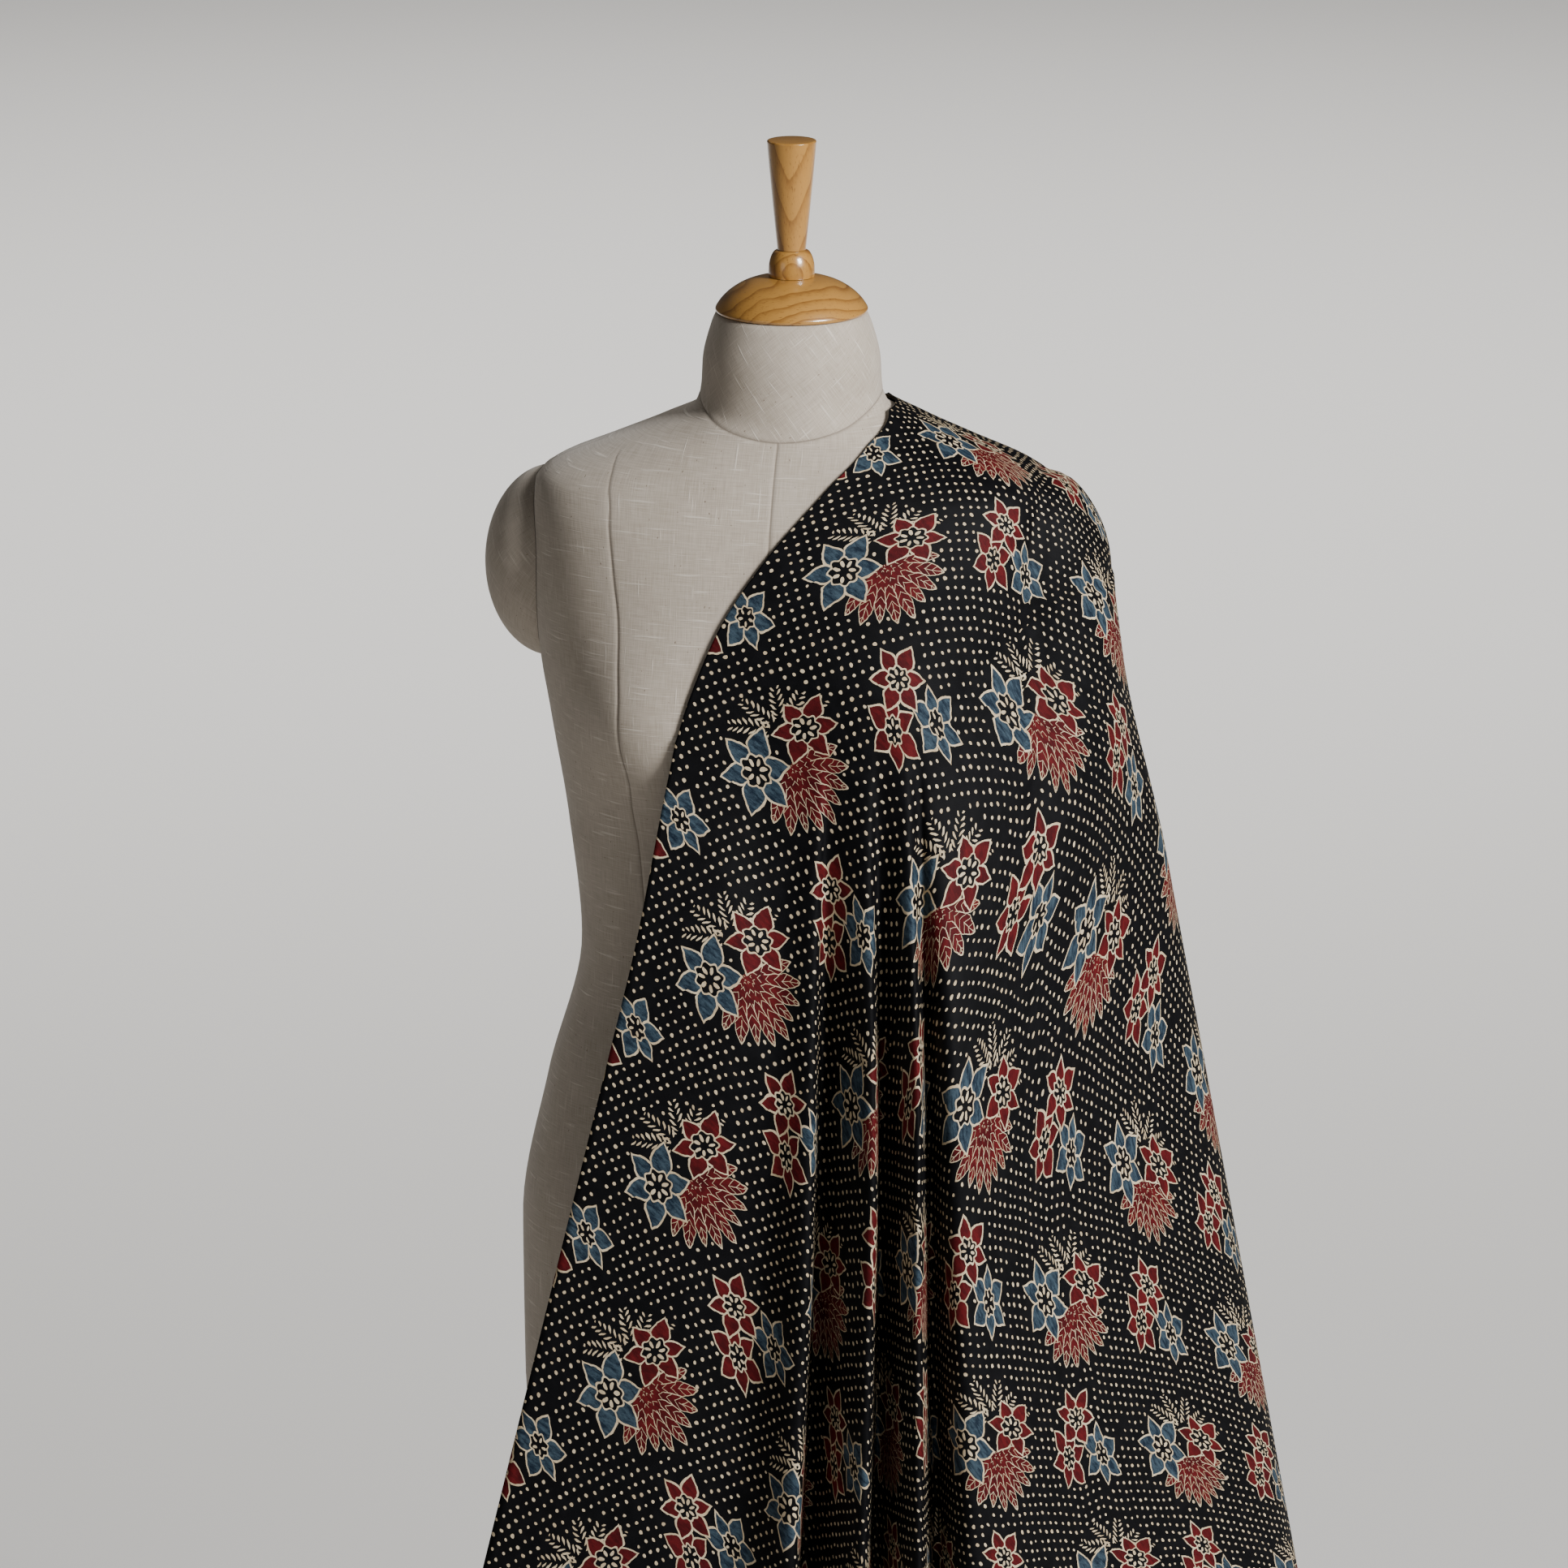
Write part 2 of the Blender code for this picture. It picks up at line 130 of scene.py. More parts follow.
# Sections across the form: height, half width, depth in front, depth behind, squareness
TORSO_SECTIONS = (
    (0.672, 0.1760, 0.1160, 0.1280, 2.30),
    (0.740, 0.1815, 0.1210, 0.1360, 2.30),
    (0.850, 0.1822, 0.1220, 0.1400, 2.30),
    (0.950, 0.1640, 0.1120, 0.1220, 2.30),
    (1.048, 0.1405, 0.0980, 0.0940, 2.30),
    (1.130, 0.1480, 0.1060, 0.0940, 2.30),
    (1.205, 0.1590, 0.1160, 0.1030, 2.35),
    (1.245, 0.1655, 0.1170, 0.1080, 2.45),
    (1.300, 0.1700, 0.1110, 0.1120, 2.55),
    (1.340, 0.1705, 0.0985, 0.1100, 2.55),
    (1.360, 0.1690, 0.0880, 0.1030, 2.40),
    (1.368, 0.1600, 0.0830, 0.0980, 2.30),
    (1.384, 0.1240, 0.0720, 0.0880, 2.10),
    (1.398, 0.0910, 0.0608, 0.0790, 2.00),
    (1.412, 0.0630, 0.0580, 0.0700, 2.00),
    (1.425, 0.0592, 0.0575, 0.0620, 2.00),
    (1.442, 0.0582, 0.0565, 0.0590, 2.00),
    (1.466, 0.0522, 0.0512, 0.0525, 2.00),
    (1.4722, 0.0495, 0.0488, 0.0498, 2.00),
)
# The bust: how far to each side, its height, how far it stands out, and its spread across and up
BUST_SIDE, BUST_HEIGHT, BUST_RISE = 0.080, 1.212, 0.017
BUST_SPREAD, BUST_FADE = (0.046, 0.050), 2.718


def curve_through(knots, values, at):
    """A smooth curve through the values, which never swings past them, read at one place."""
    last = len(knots) - 1
    if at <= knots[0]:
        return values[0]
    if at >= knots[last]:
        return values[last]
    rises = [(values[i + 1] - values[i]) / (knots[i + 1] - knots[i]) for i in range(last)]

    def slope(i):
        if i == 0 or i == last:
            return rises[min(i, last - 1)]
        before, after = rises[i - 1], rises[i]
        return 0.0 if before * after <= 0.0 else 2.0 * before * after / (before + after)

    i = next(k for k in range(last) if at <= knots[k + 1])
    span = knots[i + 1] - knots[i]
    t = (at - knots[i]) / span
    start = values[i] * (1.0 + 2.0 * t) + slope(i) * span * t
    end = values[i + 1] * (3.0 - 2.0 * t) - slope(i + 1) * span * (1.0 - t)
    return start * (1.0 - t) ** 2 + end * t * t


@lru_cache(maxsize=None)
def table_row(table, at):
    """Each column after the first, read from the table at a height."""
    knots = [row[0] for row in table]
    return [curve_through(knots, [row[k] for row in table], at) for k in range(1, len(table[0]))]


def torso_radius(direction, height):
    """Distance from the form's axis to its surface, in a direction round it."""
    turned = direction - FORM_TURN
    half_width, front, back, squareness = table_row(TORSO_SECTIONS, height)
    across = abs(cos(turned)) / half_width
    along = abs(sin(turned)) / (front if sin(turned) < 0.0 else back)
    radius = (across**squareness + along**squareness) ** (-1.0 / squareness)
    if sin(turned) < 0.0:
        from_bust = (abs(radius * cos(turned)) - BUST_SIDE) / BUST_SPREAD[0]
        from_level = (height - BUST_HEIGHT) / BUST_SPREAD[1]
        facing = min(1.0, -3.0 * sin(turned))
        radius += BUST_RISE * facing * BUST_FADE ** (-(from_bust**2) - from_level**2)
    return radius


SEAM_WIDTH, SEAM_DEPTH, SEAM_LINE = 0.0011, 0.0006, 0.0005
# The seam over each side of the bust: height, and how far round from the middle of the front in degrees
PRINCESS_SEAM = (
    (0.672, 46.0), (1.000, 46.0), (1.150, 43.0), (1.187, 39.5), (1.228, 39.7), (1.260, 42.0), (1.288, 44.2),
    (1.310, 46.8), (1.333, 50.3), (1.355, 54.6), (1.373, 62.0), (1.384, 71.0), (1.398, 82.0), (1.4722, 86.0),
)
# The seams round the form: a direction in degrees, or the seam over the bust with its side
SEAMS_ROUND = (
    (-180.0, 0.0), (-90.0, 0.0), (None, -1.0), (0.0, 0.0), (None, 1.0), (90.0, 0.0), (180.0, 0.0),
)
NECK_SEAM_FRONT, NECK_SEAM_SIDE, SHOULDER_LINE = 1.3975, 1.4200, 1.3840
# Over the shoulder line, only the seams within these directions go on to the neck, in radians from the
# middle of the front
FRONT_SEAM_REACH, BACK_SEAM_REACH = 0.5, 2.6
# Shares of a panel's width at which its columns stand, and heights of rows from the neck seam: both are
# close by a seam, to shape its groove, and even elsewhere
PANEL_SHARES = (0.0, 0.005, 0.011, 0.019, 0.032)
PANEL_SHARES += tuple(0.055 + 0.89 * k / 16 for k in range(17)) + (0.968, 0.981, 0.989, 0.995)
SEAM_ROWS = (-0.004, -0.0025, -0.0015, -0.0007, 0.0, 0.0007, 0.0015, 0.0025, 0.004)
SEAM_ROWS_REACH, ROWS_BELOW, ROWS_ABOVE, ROW_CROWDING, STOPS_ROUND = 0.0055, 92, 22, 1.6, 8


def seam_direction(seam, height):
    """Direction round the form of a seam, from the middle of its front."""
    fixed, side = seam
    if fixed is not None:
        return radians(fixed)
    return side * radians(table_row(PRINCESS_SEAM, height)[0])


def neck_seam_height(round_front):
    """The neck seam dips in front and rises to the sides."""
    dip = max(cos(round_front), 0.0) ** 1.5
    return NECK_SEAM_SIDE + (NECK_SEAM_FRONT - NECK_SEAM_SIDE) * dip


def round_front_at(column, height):
    """How far round from the middle of the front a column of the cover stands, and how far from a seam."""
    panel, share = divmod(column, len(PANEL_SHARES))
    left = seam_direction(SEAMS_ROUND[panel], height)
    right = seam_direction(SEAMS_ROUND[panel + 1], height)
    round_front = left + (right - left) * PANEL_SHARES[share]
    return round_front, min(round_front - left, right - round_front)


def way_round(round_front, height):
    """How far it is along the cover from the middle of the front, by its mean radius on the way."""
    stops = [(k + 0.5) / STOPS_ROUND for k in range(STOPS_ROUND)]
    radii = [torso_radius(FORM_FRONT + round_front * stop, height) for stop in stops]
    return round_front * sum(radii) / len(radii)


def column_heights(column):
    """Heights of a column's points from the form's bottom up, closer together towards the neck seam."""
    seam = neck_seam_height(round_front_at(column, NECK_SEAM_SIDE)[0])
    reach = seam - SEAM_ROWS_REACH - FORM_BOTTOM
    shares = [1.0 - (1.0 - k / ROWS_BELOW) ** ROW_CROWDING for k in range(ROWS_BELOW + 1)]
    below = [FORM_BOTTOM + reach * share for share in shares]
    above_seam = seam + SEAM_ROWS_REACH
    above = [above_seam + (NECK_TOP - above_seam) * k / ROWS_ABOVE for k in range(ROWS_ABOVE + 1)]
    return below + [seam + row for row in SEAM_ROWS] + above


def build_torso_cover(swell=0.0, seams=True):
    """The form's cover, with grooves and dark stitched lines where its panels are sewn."""
    columns = (len(SEAMS_ROUND) - 1) * len(PANEL_SHARES)
    heights = [column_heights(column) for column in range(columns)]
    rows = len(heights[0]) - 1
    shape = bmesh.new()
    bmesh.ops.create_cone(shape, cap_ends=True, segments=columns, radius1=1.0, radius2=1.0, depth=1.0)
    uprights = [edge for edge in shape.edges if abs(edge.verts[0].co.z - edge.verts[1].co.z) > 0.5]
    bmesh.ops.subdivide_edges(shape, edges=uprights, cuts=rows - 1)
    flat = shape.verts.layers.float_vector.new("flat_place")
    darkened_lines = shape.verts.layers.float.new("seam_line")
    for vertex in shape.verts:
        column = round((atan2(vertex.co.y, vertex.co.x) / (2.0 * pi) % 1.0) * columns) % columns
        height = heights[column][round((vertex.co.z + 0.5) * rows)]
        round_front, to_seam = round_front_at(column, height)
        direction = FORM_FRONT + round_front
        radius = torso_radius(direction, height) + swell
        if seams:
            neck_seam = neck_seam_height(round_front)
            nearest = abs(height - neck_seam)
            at_side = FRONT_SEAM_REACH < abs(round_front) < BACK_SEAM_REACH
            if height <= neck_seam and not (height > SHOULDER_LINE and at_side):
                nearest = min(nearest, to_seam * radius)
            radius -= SEAM_DEPTH * exp(-((nearest / SEAM_WIDTH) ** 2))
            vertex[darkened_lines] = exp(-((nearest / SEAM_LINE) ** 2))
        vertex.co = Vector((radius * cos(direction), radius * sin(direction), height))
        vertex[flat] = Vector((way_round(round_front, height), height, 0.0))
    return shape


def feed(socket, value):
    """Gives a socket a wire, another socket or a plain value."""
    value = value.socket if isinstance(value, Wire) else value
    if isinstance(value, bpy.types.NodeSocket):
        socket.id_data.links.new(value, socket)
    else:
        socket.default_value = value


def by_math(operation):
    """A way to reckon: one operation on a wire and others, each a wire or a plain value."""
    return lambda wire, *others: wire.math(operation, *others)


class Wire:
    """A number that runs through a node tree, so that a pattern reads like arithmetic."""

    __add__, __sub__, __mul__, __truediv__ = map(by_math, ("ADD", "SUBTRACT", "MULTIPLY", "DIVIDE"))
    power, least, most, size = map(by_math, ("POWER", "MINIMUM", "MAXIMUM", "ABSOLUTE"))
    below, above, whole = map(by_math, ("LESS_THAN", "GREATER_THAN", "ROUND"))

    def __init__(self, socket):
        self.tree, self.socket = socket.id_data, socket

    def math(self, operation, *others):
        """The number that an operation makes of this one and others."""
        node = self.tree.nodes.new("ShaderNodeMath")
        node.operation = operation
        for socket, value in zip(node.inputs, (self, *others)):
            feed(socket, value)
        return Wire(node.outputs[0])

    def between(self, low, high):
        """0 below low, 1 above high, and a soft rise from one to the other."""
        node = self.tree.nodes.new("ShaderNodeMapRange")
        node.interpolation_type = "SMOOTHSTEP"
        for label, value in (("Value", self), ("From Min", low), ("From Max", high)):
            feed(node.inputs[label], value)
        return Wire(node.outputs["Result"])


def placed(x, y, z=0.0):
    """A vector from three numbers, the first a wire and the others wires or plain values."""
    node = x.tree.nodes.new("ShaderNodeCombineXYZ")
    for socket, value in zip(node.inputs, (x, y, z)):
        feed(socket, value)
    return node.outputs[0]


def speckle(place, scale, detail=2.0, roughness=0.5):
    """Soft noise from 0 to 1 over a place of two or three numbers."""
    node = place[0].tree.nodes.new("ShaderNodeTexNoise")
    settings = (("Vector", placed(*place)), ("Scale", scale), ("Detail", detail), ("Roughness", roughness))
    for label, value in settings:
        feed(node.inputs[label], value)
    return Wire(node.outputs["Fac"])


def blend_colours(share, first, second):
    """From one colour to another, by a share. Each is a socket or a plain colour."""
    node = share.tree.nodes.new("ShaderNodeMix")
    node.data_type = "RGBA"
    feed(node.inputs["Factor"], share)
    for name, value in (("A", first), ("B", second)):
        socket = next(s for s in node.inputs if s.name == name and s.type == "RGBA")
        feed(socket, (*value, 1.0) if isinstance(value, tuple) else value)
    return next(s for s in node.outputs if s.type == "RGBA")


def raised(shader, height, distance, strength):
    """A fine relief of some metres under the shader's normal."""
    node = height.tree.nodes.new("ShaderNodeBump")
    for label, value in (("Height", height), ("Distance", distance), ("Strength", strength)):
        feed(node.inputs[label], value)
    feed(shader.inputs["Normal"], node.outputs["Normal"])


def three_numbers(vector):
    """The three numbers of a vector or a colour."""
    node = vector.id_data.nodes.new("ShaderNodeSeparateXYZ")
    feed(node.inputs[0], vector)
    return [Wire(number) for number in node.outputs]


def own_place(tree):
    """A spot's place on the piece, in metres."""
    return three_numbers(tree.nodes.new("ShaderNodeTexCoord").outputs["Object"])


def own_map(tree, name):
    """The two numbers of the piece's own map."""
    node = tree.nodes.new("ShaderNodeUVMap")
    node.uv_map = name
    return three_numbers(node.outputs[0])[:2]


def new_group(name, takes, gives):
    """An empty node group with named numbers in, and numbers or a Colour out."""
    group = bpy.data.node_groups.new(name, "ShaderNodeTree")
    for label, value in takes:
        socket = group.interface.new_socket(label, in_out="INPUT", socket_type="NodeSocketFloat")
        socket.default_value = value
    for label in gives:
        kind = "NodeSocketColor" if label == "Colour" else "NodeSocketFloat"
        group.interface.new_socket(label, in_out="OUTPUT", socket_type=kind)
    into = group.nodes.new("NodeGroupInput")
    out = group.nodes.new("NodeGroupOutput")
    return group, {label: Wire(into.outputs[label]) for label, _ in takes}, out


# Where the arm caps stand, for the painted crease shade along the seam that sews them on, and the edges of
# that painted shade
ARM_CENTRE = (0.1600, 0.004, 1.2990)
ARM_RADII = (0.0455, 0.0500, 0.0645)
ARMHOLE_SHADE_FULL, ARMHOLE_SHADE_ENDS = 0.0005, 0.0017
# The weave of the linen, from a place on the cover in metres: uneven threads both ways, pale slubs where a
# thread thickens, and dark flecks of straw
LINEN_LIGHT = (0.515, 0.450, 0.375)
LINEN_DARK = (0.355, 0.300, 0.238)
LINEN_SLUB = (0.68, 0.62, 0.535)
# Of the two colours below, the second darkens the stitched seams, and along the armhole it is painted shade of
# the crease where an arm cap meets the form
LINEN_FLECK, LINEN_SEAM_AND_CREASE_SHADE = (0.16, 0.12, 0.085), (0.115, 0.088, 0.064)
NECK_BIAS, WIDEST_FACE = radians(-52.0), 0.12
THREADS_A_METRE, THREAD_DRAWN_OUT = 1500.0, 0.045
SLUBS_A_METRE, SLUB_DRAWN_OUT = 520.0, 0.06


def linen_weave():
    """The weave as a group: a place on the cover in, its colour and its relief out."""
    group, takes, out = new_group("linen_weave", (("Across", 0.0), ("Up", 0.0)), ("Colour", "Relief"))
    across, up = takes["Across"], takes["Up"]
    wefts = speckle((across * THREAD_DRAWN_OUT, up), THREADS_A_METRE, 1.0)
    warps = speckle((across, up * THREAD_DRAWN_OUT), THREADS_A_METRE, 1.0)
    weft_slubs = speckle((across * SLUB_DRAWN_OUT, up, 3.0), SLUBS_A_METRE).between(0.60, 0.72)
    warp_slubs = speckle((across, up * SLUB_DRAWN_OUT, 7.0), SLUBS_A_METRE).between(0.63, 0.76)
    flecks = speckle((across, up * 0.5, 11.0), 620.0, 1.0).between(0.735, 0.775)
    shades = speckle((across, up, 5.0), 26.0, 3.0)
    threads = (wefts + warps) * 0.5
    tone = (threads - 0.5) * 1.5 + shades * 0.45 + 0.28
    ground = blend_colours(tone.between(0.0, 1.0), LINEN_DARK, LINEN_LIGHT)
    slubs = weft_slubs.most(warp_slubs)
    slubbed = blend_colours(slubs * 0.62, ground, LINEN_SLUB)
    feed(out.inputs["Colour"], blend_colours(flecks * 0.85, slubbed, LINEN_FLECK))
    feed(out.inputs["Relief"], threads + slubs * 0.7)
    return group


linen_group = linen_weave()


def armhole_crease_shade(tree):
    """Painted crease shade: 1 on the form along the edge of an arm cap, where it is sewn to it and the crease
    between them falls into shade.
    """
    x, y, z = own_place(tree)
    out = (x * cos(FORM_TURN) + y * sin(FORM_TURN)).size() - ARM_CENTRE[0]
    back = y * cos(FORM_TURN) - x * sin(FORM_TURN) - ARM_CENTRE[1]
    out, back, rise = out / ARM_RADII[0], back / ARM_RADII[1], (z - ARM_CENTRE[2]) / ARM_RADII[2]
    reach = (out * out + back * back + rise * rise).math("SQRT")
    return ((reach - 1.0) * ARM_RADII[1]).size().between(ARMHOLE_SHADE_FULL, ARMHOLE_SHADE_ENDS) * -1.0 + 1.0


def kept_on_points(tree, name):
    """A number kept on the piece's points."""
    node = tree.nodes.new("ShaderNodeAttribute")
    node.attribute_name = name
    return Wire(node.outputs["Fac"])


def linen_material(name, turned, bias_part=None):
    """Linen cut on the bias by an angle, all over or only on the part of the cover that is marked for it."""
    made, tree, shader = new_material(name, 0.88)
    along, height = own_map(tree, "cover")
    lean, rise = cos(turned), sin(turned)
    if bias_part is None:
        across, up = along * lean + height * rise, height * lean - along * rise
    else:
        bias = kept_on_points(tree, bias_part).above(0.5)
        plain = bias * -1.0 + 1.0
        across = along * (plain + bias * lean) + height * bias * rise
        up = height * (plain + bias * lean) - along * bias * rise
    weave = tree.nodes.new("ShaderNodeGroup")
    weave.node_tree = linen_group
    feed(weave.inputs["Across"], across)
    feed(weave.inputs["Up"], up)
    # Stitched seams are darkened, and along the armhole the darkening is painted shade of the crease there
    darkened_lines = kept_on_points(tree, "seam_line")
    if bias_part is not None:
        darkened_lines = darkened_lines.most(armhole_crease_shade(tree))
    linen = blend_colours(darkened_lines * 0.72, weave.outputs["Colour"], LINEN_SEAM_AND_CREASE_SHADE)
    feed(shader.inputs["Base Color"], linen)
    raised(shader, Wire(weave.outputs["Relief"]), 0.00025, 0.6)
    shader.inputs["Sheen Weight"].default_value = 0.15
    shader.inputs["Sheen Roughness"].default_value = 0.5
    shader.inputs["Specular IOR Level"].default_value = 0.25
    return made


def map_cover(mesh):
    """Turns the flat places kept on the points into the piece's own map, unbroken round the back."""
    flat_places = mesh.attributes["flat_place"].data
    cover = mesh.uv_layers.new(name="cover")
    for face in mesh.polygons:
        spots = [flat_places[mesh.loops[k].vertex_index].vector for k in face.loop_indices]
        far_round = max(spot[0] for spot in spots)
        for k, spot in zip(face.loop_indices, spots):
            joined = -spot[0] if far_round - spot[0] > WIDEST_FACE else spot[0]
            cover.data[k].uv = (joined, spot[1])


torso = add_piece("torso_cover", build_torso_cover())
map_cover(torso.data)
neck_part = torso.data.attributes.new("neck_part", "FLOAT", "POINT")
for vertex in torso.data.vertices:
    round_front = (atan2(vertex.co.y, vertex.co.x) - FORM_FRONT + pi) % (2.0 * pi) - pi
    neck_part.data[vertex.index].value = 1.0 if vertex.co.z > neck_seam_height(round_front) else 0.0
torso.data.materials.append(linen_material("slubbed_linen", NECK_BIAS, "neck_part"))
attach(torso, "root")
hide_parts("form_torso")


# ---- Arm caps
# Two padded ovals that close the armholes, covered in the same linen cut on the bias and sewn on by hand
# round the armhole.
CAP_BIAS, ARMHOLE_ROOM, ARMHOLE_EDGE = radians(38.0), 0.0002, radians(50.0)
bias_linen = linen_material("bias_linen", CAP_BIAS)
for side, cap_name in ((-1.0, "arm_cap_left"), (1.0, "arm_cap_right")):
    cap_shape = bmesh.new()
    bmesh.ops.create_uvsphere(cap_shape, u_segments=96, v_segments=72, radius=1.0)
    flat_layer = cap_shape.verts.layers.float_vector.new("flat_place")
    for vertex in cap_shape.verts:
        polar = atan2(hypot(vertex.co.x, vertex.co.y), vertex.co.z)
        turn = atan2(vertex.co.y, side * vertex.co.x)
        vertex[flat_layer] = Vector((ARM_RADII[1] * turn * sin(polar), -ARM_RADII[2] * polar, 0.0))
    centre = Vector((side * ARM_CENTRE[0], ARM_CENTRE[1], ARM_CENTRE[2]))
    cap_place = Matrix.Rotation(FORM_TURN, 4, "Z") @ Matrix.Translation(centre)
    cap_place = cap_place @ Matrix.Diagonal((*ARM_RADII, 1.0))
    bmesh.ops.transform(cap_shape, matrix=cap_place, verts=cap_shape.verts)
    cap = add_piece(cap_name + "_cover", cap_shape)
    map_cover(cap.data)
    cutter = add_piece("armhole", build_torso_cover(ARMHOLE_ROOM, False))
    armhole = cap.modifiers.new("armhole", "BOOLEAN")
    armhole.operation = "DIFFERENCE"
    armhole.solver = "EXACT"
    armhole.object = cutter
    bpy.context.view_layer.update()
    cut_mesh = bpy.data.meshes.new_from_object(cap.evaluated_get(bpy.context.evaluated_depsgraph_get()))
    cap.modifiers.clear()
    cap.data = cut_mesh
    cap.data.name = cap.name
    bpy.data.objects.remove(cutter, do_unlink=True)
    cap.data.shade_smooth()
    cap.data.set_sharp_from_angle(angle=ARMHOLE_EDGE)
    cap.data.materials.clear()
    cap.data.materials.append(bias_linen)
    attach(cap, "root")
    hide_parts(cap_name)


# ---- Turned wood on the neck
# A shallow dome, a ball and a tapered handle, turned from pale hardwood and varnished to a warm gloss. A
# screw through all three holds them to the neck board.
WOOD_PALE = (0.425, 0.212, 0.047)
WOOD_WARM = (0.170, 0.064, 0.012)
WOOD_DEEP = (0.110, 0.038, 0.009)
CRISP_EDGE, JOINED_WITHIN = radians(48.0), 0.00002
# Each profile from the outer top edge down: radius and height. The middle of each end closes it.
NECK_CAP_PROFILE = (
    (0.0155, 1.4955), (0.0230, 1.4943), (0.0310, 1.4917), (0.0390, 1.4872), (0.0450, 1.4820),
    (0.0487, 1.4772), (0.0500, 1.4745), (0.0493, 1.4730), (0.0480, 1.4725),
)
NECK_BALL_PROFILE = (
    (0.0098, 1.5132), (0.0112, 1.5126), (0.0128, 1.5105), (0.0142, 1.5070), (0.0150, 1.5030),
    (0.0152, 1.4990), (0.0149, 1.4958),
)
HANDLE_PROFILE = (
    (0.0145, 1.5856), (0.0155, 1.5854), (0.0161, 1.5847), (0.0160, 1.5832), (0.0149, 1.5700),
    (0.0127, 1.5470), (0.0106, 1.5260), (0.0093, 1.5135),
)


def wood_material(name, heart, across_grain, climb, pore_speeds, ring_width):
    """Varnished wood with rings round a heart, drawn out along each axis, that shift as they climb."""
    made, tree, shader = new_material(name, 0.28)
    place = own_place(tree)
    away = [(place[k] - heart[k]) * across_grain[k] for k in range(3)]
    waves = speckle(away, 42.0)
    rings = (away[0] * away[0] + away[1] * away[1] + away[2] * away[2]).math("SQRT")
    rings = rings + place[2] * climb + (waves - 0.5) * 0.010
    growth = (rings / ring_width).math("FRACT")
    late = growth.power(2.5) * (growth.between(0.93, 1.0) * -1.0 + 1.0)
    fibre = speckle([place[k] * pore_speeds[k] for k in range(3)], 1.0)
    pores = fibre.between(0.63, 0.72)
    shade = (late * (waves * 0.9 + 0.25) + (fibre - 0.5) * 0.45 + 0.06).between(0.0, 1.0)
    body = blend_colours(shade, WOOD_PALE, WOOD_WARM)
    feed(shader.inputs["Base Color"], blend_colours(pores * 0.6, body, WOOD_DEEP))
    raised(shader, pores * -1.0, 0.00006, 0.5)
    shader.inputs["Coat Weight"].default_value = 0.7
    shader.inputs["Coat Roughness"].default_value = 0.12
    shader.inputs["Coat IOR"].default_value = 1.5
    return made


def turned_shape(profile, steps, finer):
    """Spins a profile, drawn finer by a curve through its points, and closes it at both ends."""
    lengths = [0.0]
    for (r0, z0), (r1, z1) in zip(profile, profile[1:]):
        lengths.append(lengths[-1] + hypot(r1 - r0, z1 - z0))
    outline = []
    for start, end in zip(lengths, lengths[1:]):
        outline += [start + (end - start) * part / finer for part in range(finer)]
    outline.append(lengths[-1])
    radii, heights = [point[0] for point in profile], [point[1] for point in profile]
    shape = bmesh.new()
    points = [shape.verts.new((0.0, 0.0, heights[0]))]
    points += [
        shape.verts.new((curve_through(lengths, radii, at), 0.0, curve_through(lengths, heights, at)))
        for at in outline
    ]
    points.append(shape.verts.new((0.0, 0.0, heights[-1])))
    edges = [shape.edges.new(pair) for pair in zip(points, points[1:])]
    whole_turn = {"cent": (0.0, 0.0, 0.0), "axis": (0.0, 0.0, 1.0), "angle": 2.0 * pi, "use_merge": True}
    bmesh.ops.spin(shape, geom=points + edges, steps=steps, **whole_turn)
    bmesh.ops.remove_doubles(shape, verts=shape.verts, dist=JOINED_WITHIN)
    return shape


def turned_piece(name, profile, material, node, steps, finer):
    """A turned piece in its finish, which takes the place of its node."""
    piece = add_piece(name, turned_shape(profile, steps, finer))
    piece.data.set_sharp_from_angle(angle=CRISP_EDGE)
    piece.data.materials.append(material)
    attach(piece, "root")
    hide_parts(node)


cap_wood = wood_material(
    "cap_wood", (0.016, 0.0, 1.436), (0.8, 0.12, 1.0), 0.0, (260.0, 1200.0, 1200.0), 0.0052
)
ball_wood = wood_material(
    "ball_wood", (0.001, 0.0, 1.4985), (1.0, 0.3, 0.9), 0.0, (900.0, 900.0, 300.0), 0.0042
)
handle_wood = wood_material(
    "handle_wood", (0.001, 0.05, 0.0), (1.0, 1.0, 0.0), 0.10, (1300.0, 1300.0, 240.0), 0.0058
)
turned_piece("neck_cap_turning", NECK_CAP_PROFILE, cap_wood, "neck_cap", 96, 4)
turned_piece("neck_ball_turning", NECK_BALL_PROFILE, ball_wood, "neck_ball", 64, 4)
turned_piece("handle_turning", HANDLE_PROFILE, handle_wood, "finial", 64, 3)


# ---- Stand
# A round base board under the form, a black painted steel pole, and a turned wooden foot with its collar,
# all plain. The board closes the form's underside, and the pole stands between the board and the collar.
PLATE_RADIUS, PLATE_THICKNESS = 0.080, 0.012
POLE_RADIUS, FOOT_TOP, TOUCH_GAP = 0.0150, 0.0410, 0.0003
PLATE_EDGE, POLE_EDGE = 0.0015, 0.0008
PAINT_BLACK, PAINT_WORN = (0.022, 0.022, 0.022), (0.040, 0.039, 0.038)
COLLAR_TOP = 0.1200
COLLAR_PROFILE = (
    (0.0190, COLLAR_TOP), (0.0225, 0.1150), (0.0250, 0.0700), (0.0360, 0.0480),
    (0.0380, FOOT_TOP + TOUCH_GAP),
)
FOOT_PROFILE = (
    (0.0900, FOOT_TOP), (0.1500, 0.0350), (0.1850, 0.0270), (0.1980, 0.0180), (0.2000, 0.0120),
    (0.1980, 0.0000),
)


def rod_profile(radius, top, bottom, edge):
    """The profile of a round rod or board with its two edges broken."""
    return (radius - edge, top), (radius, top - edge), (radius, bottom + edge), (radius - edge, bottom)


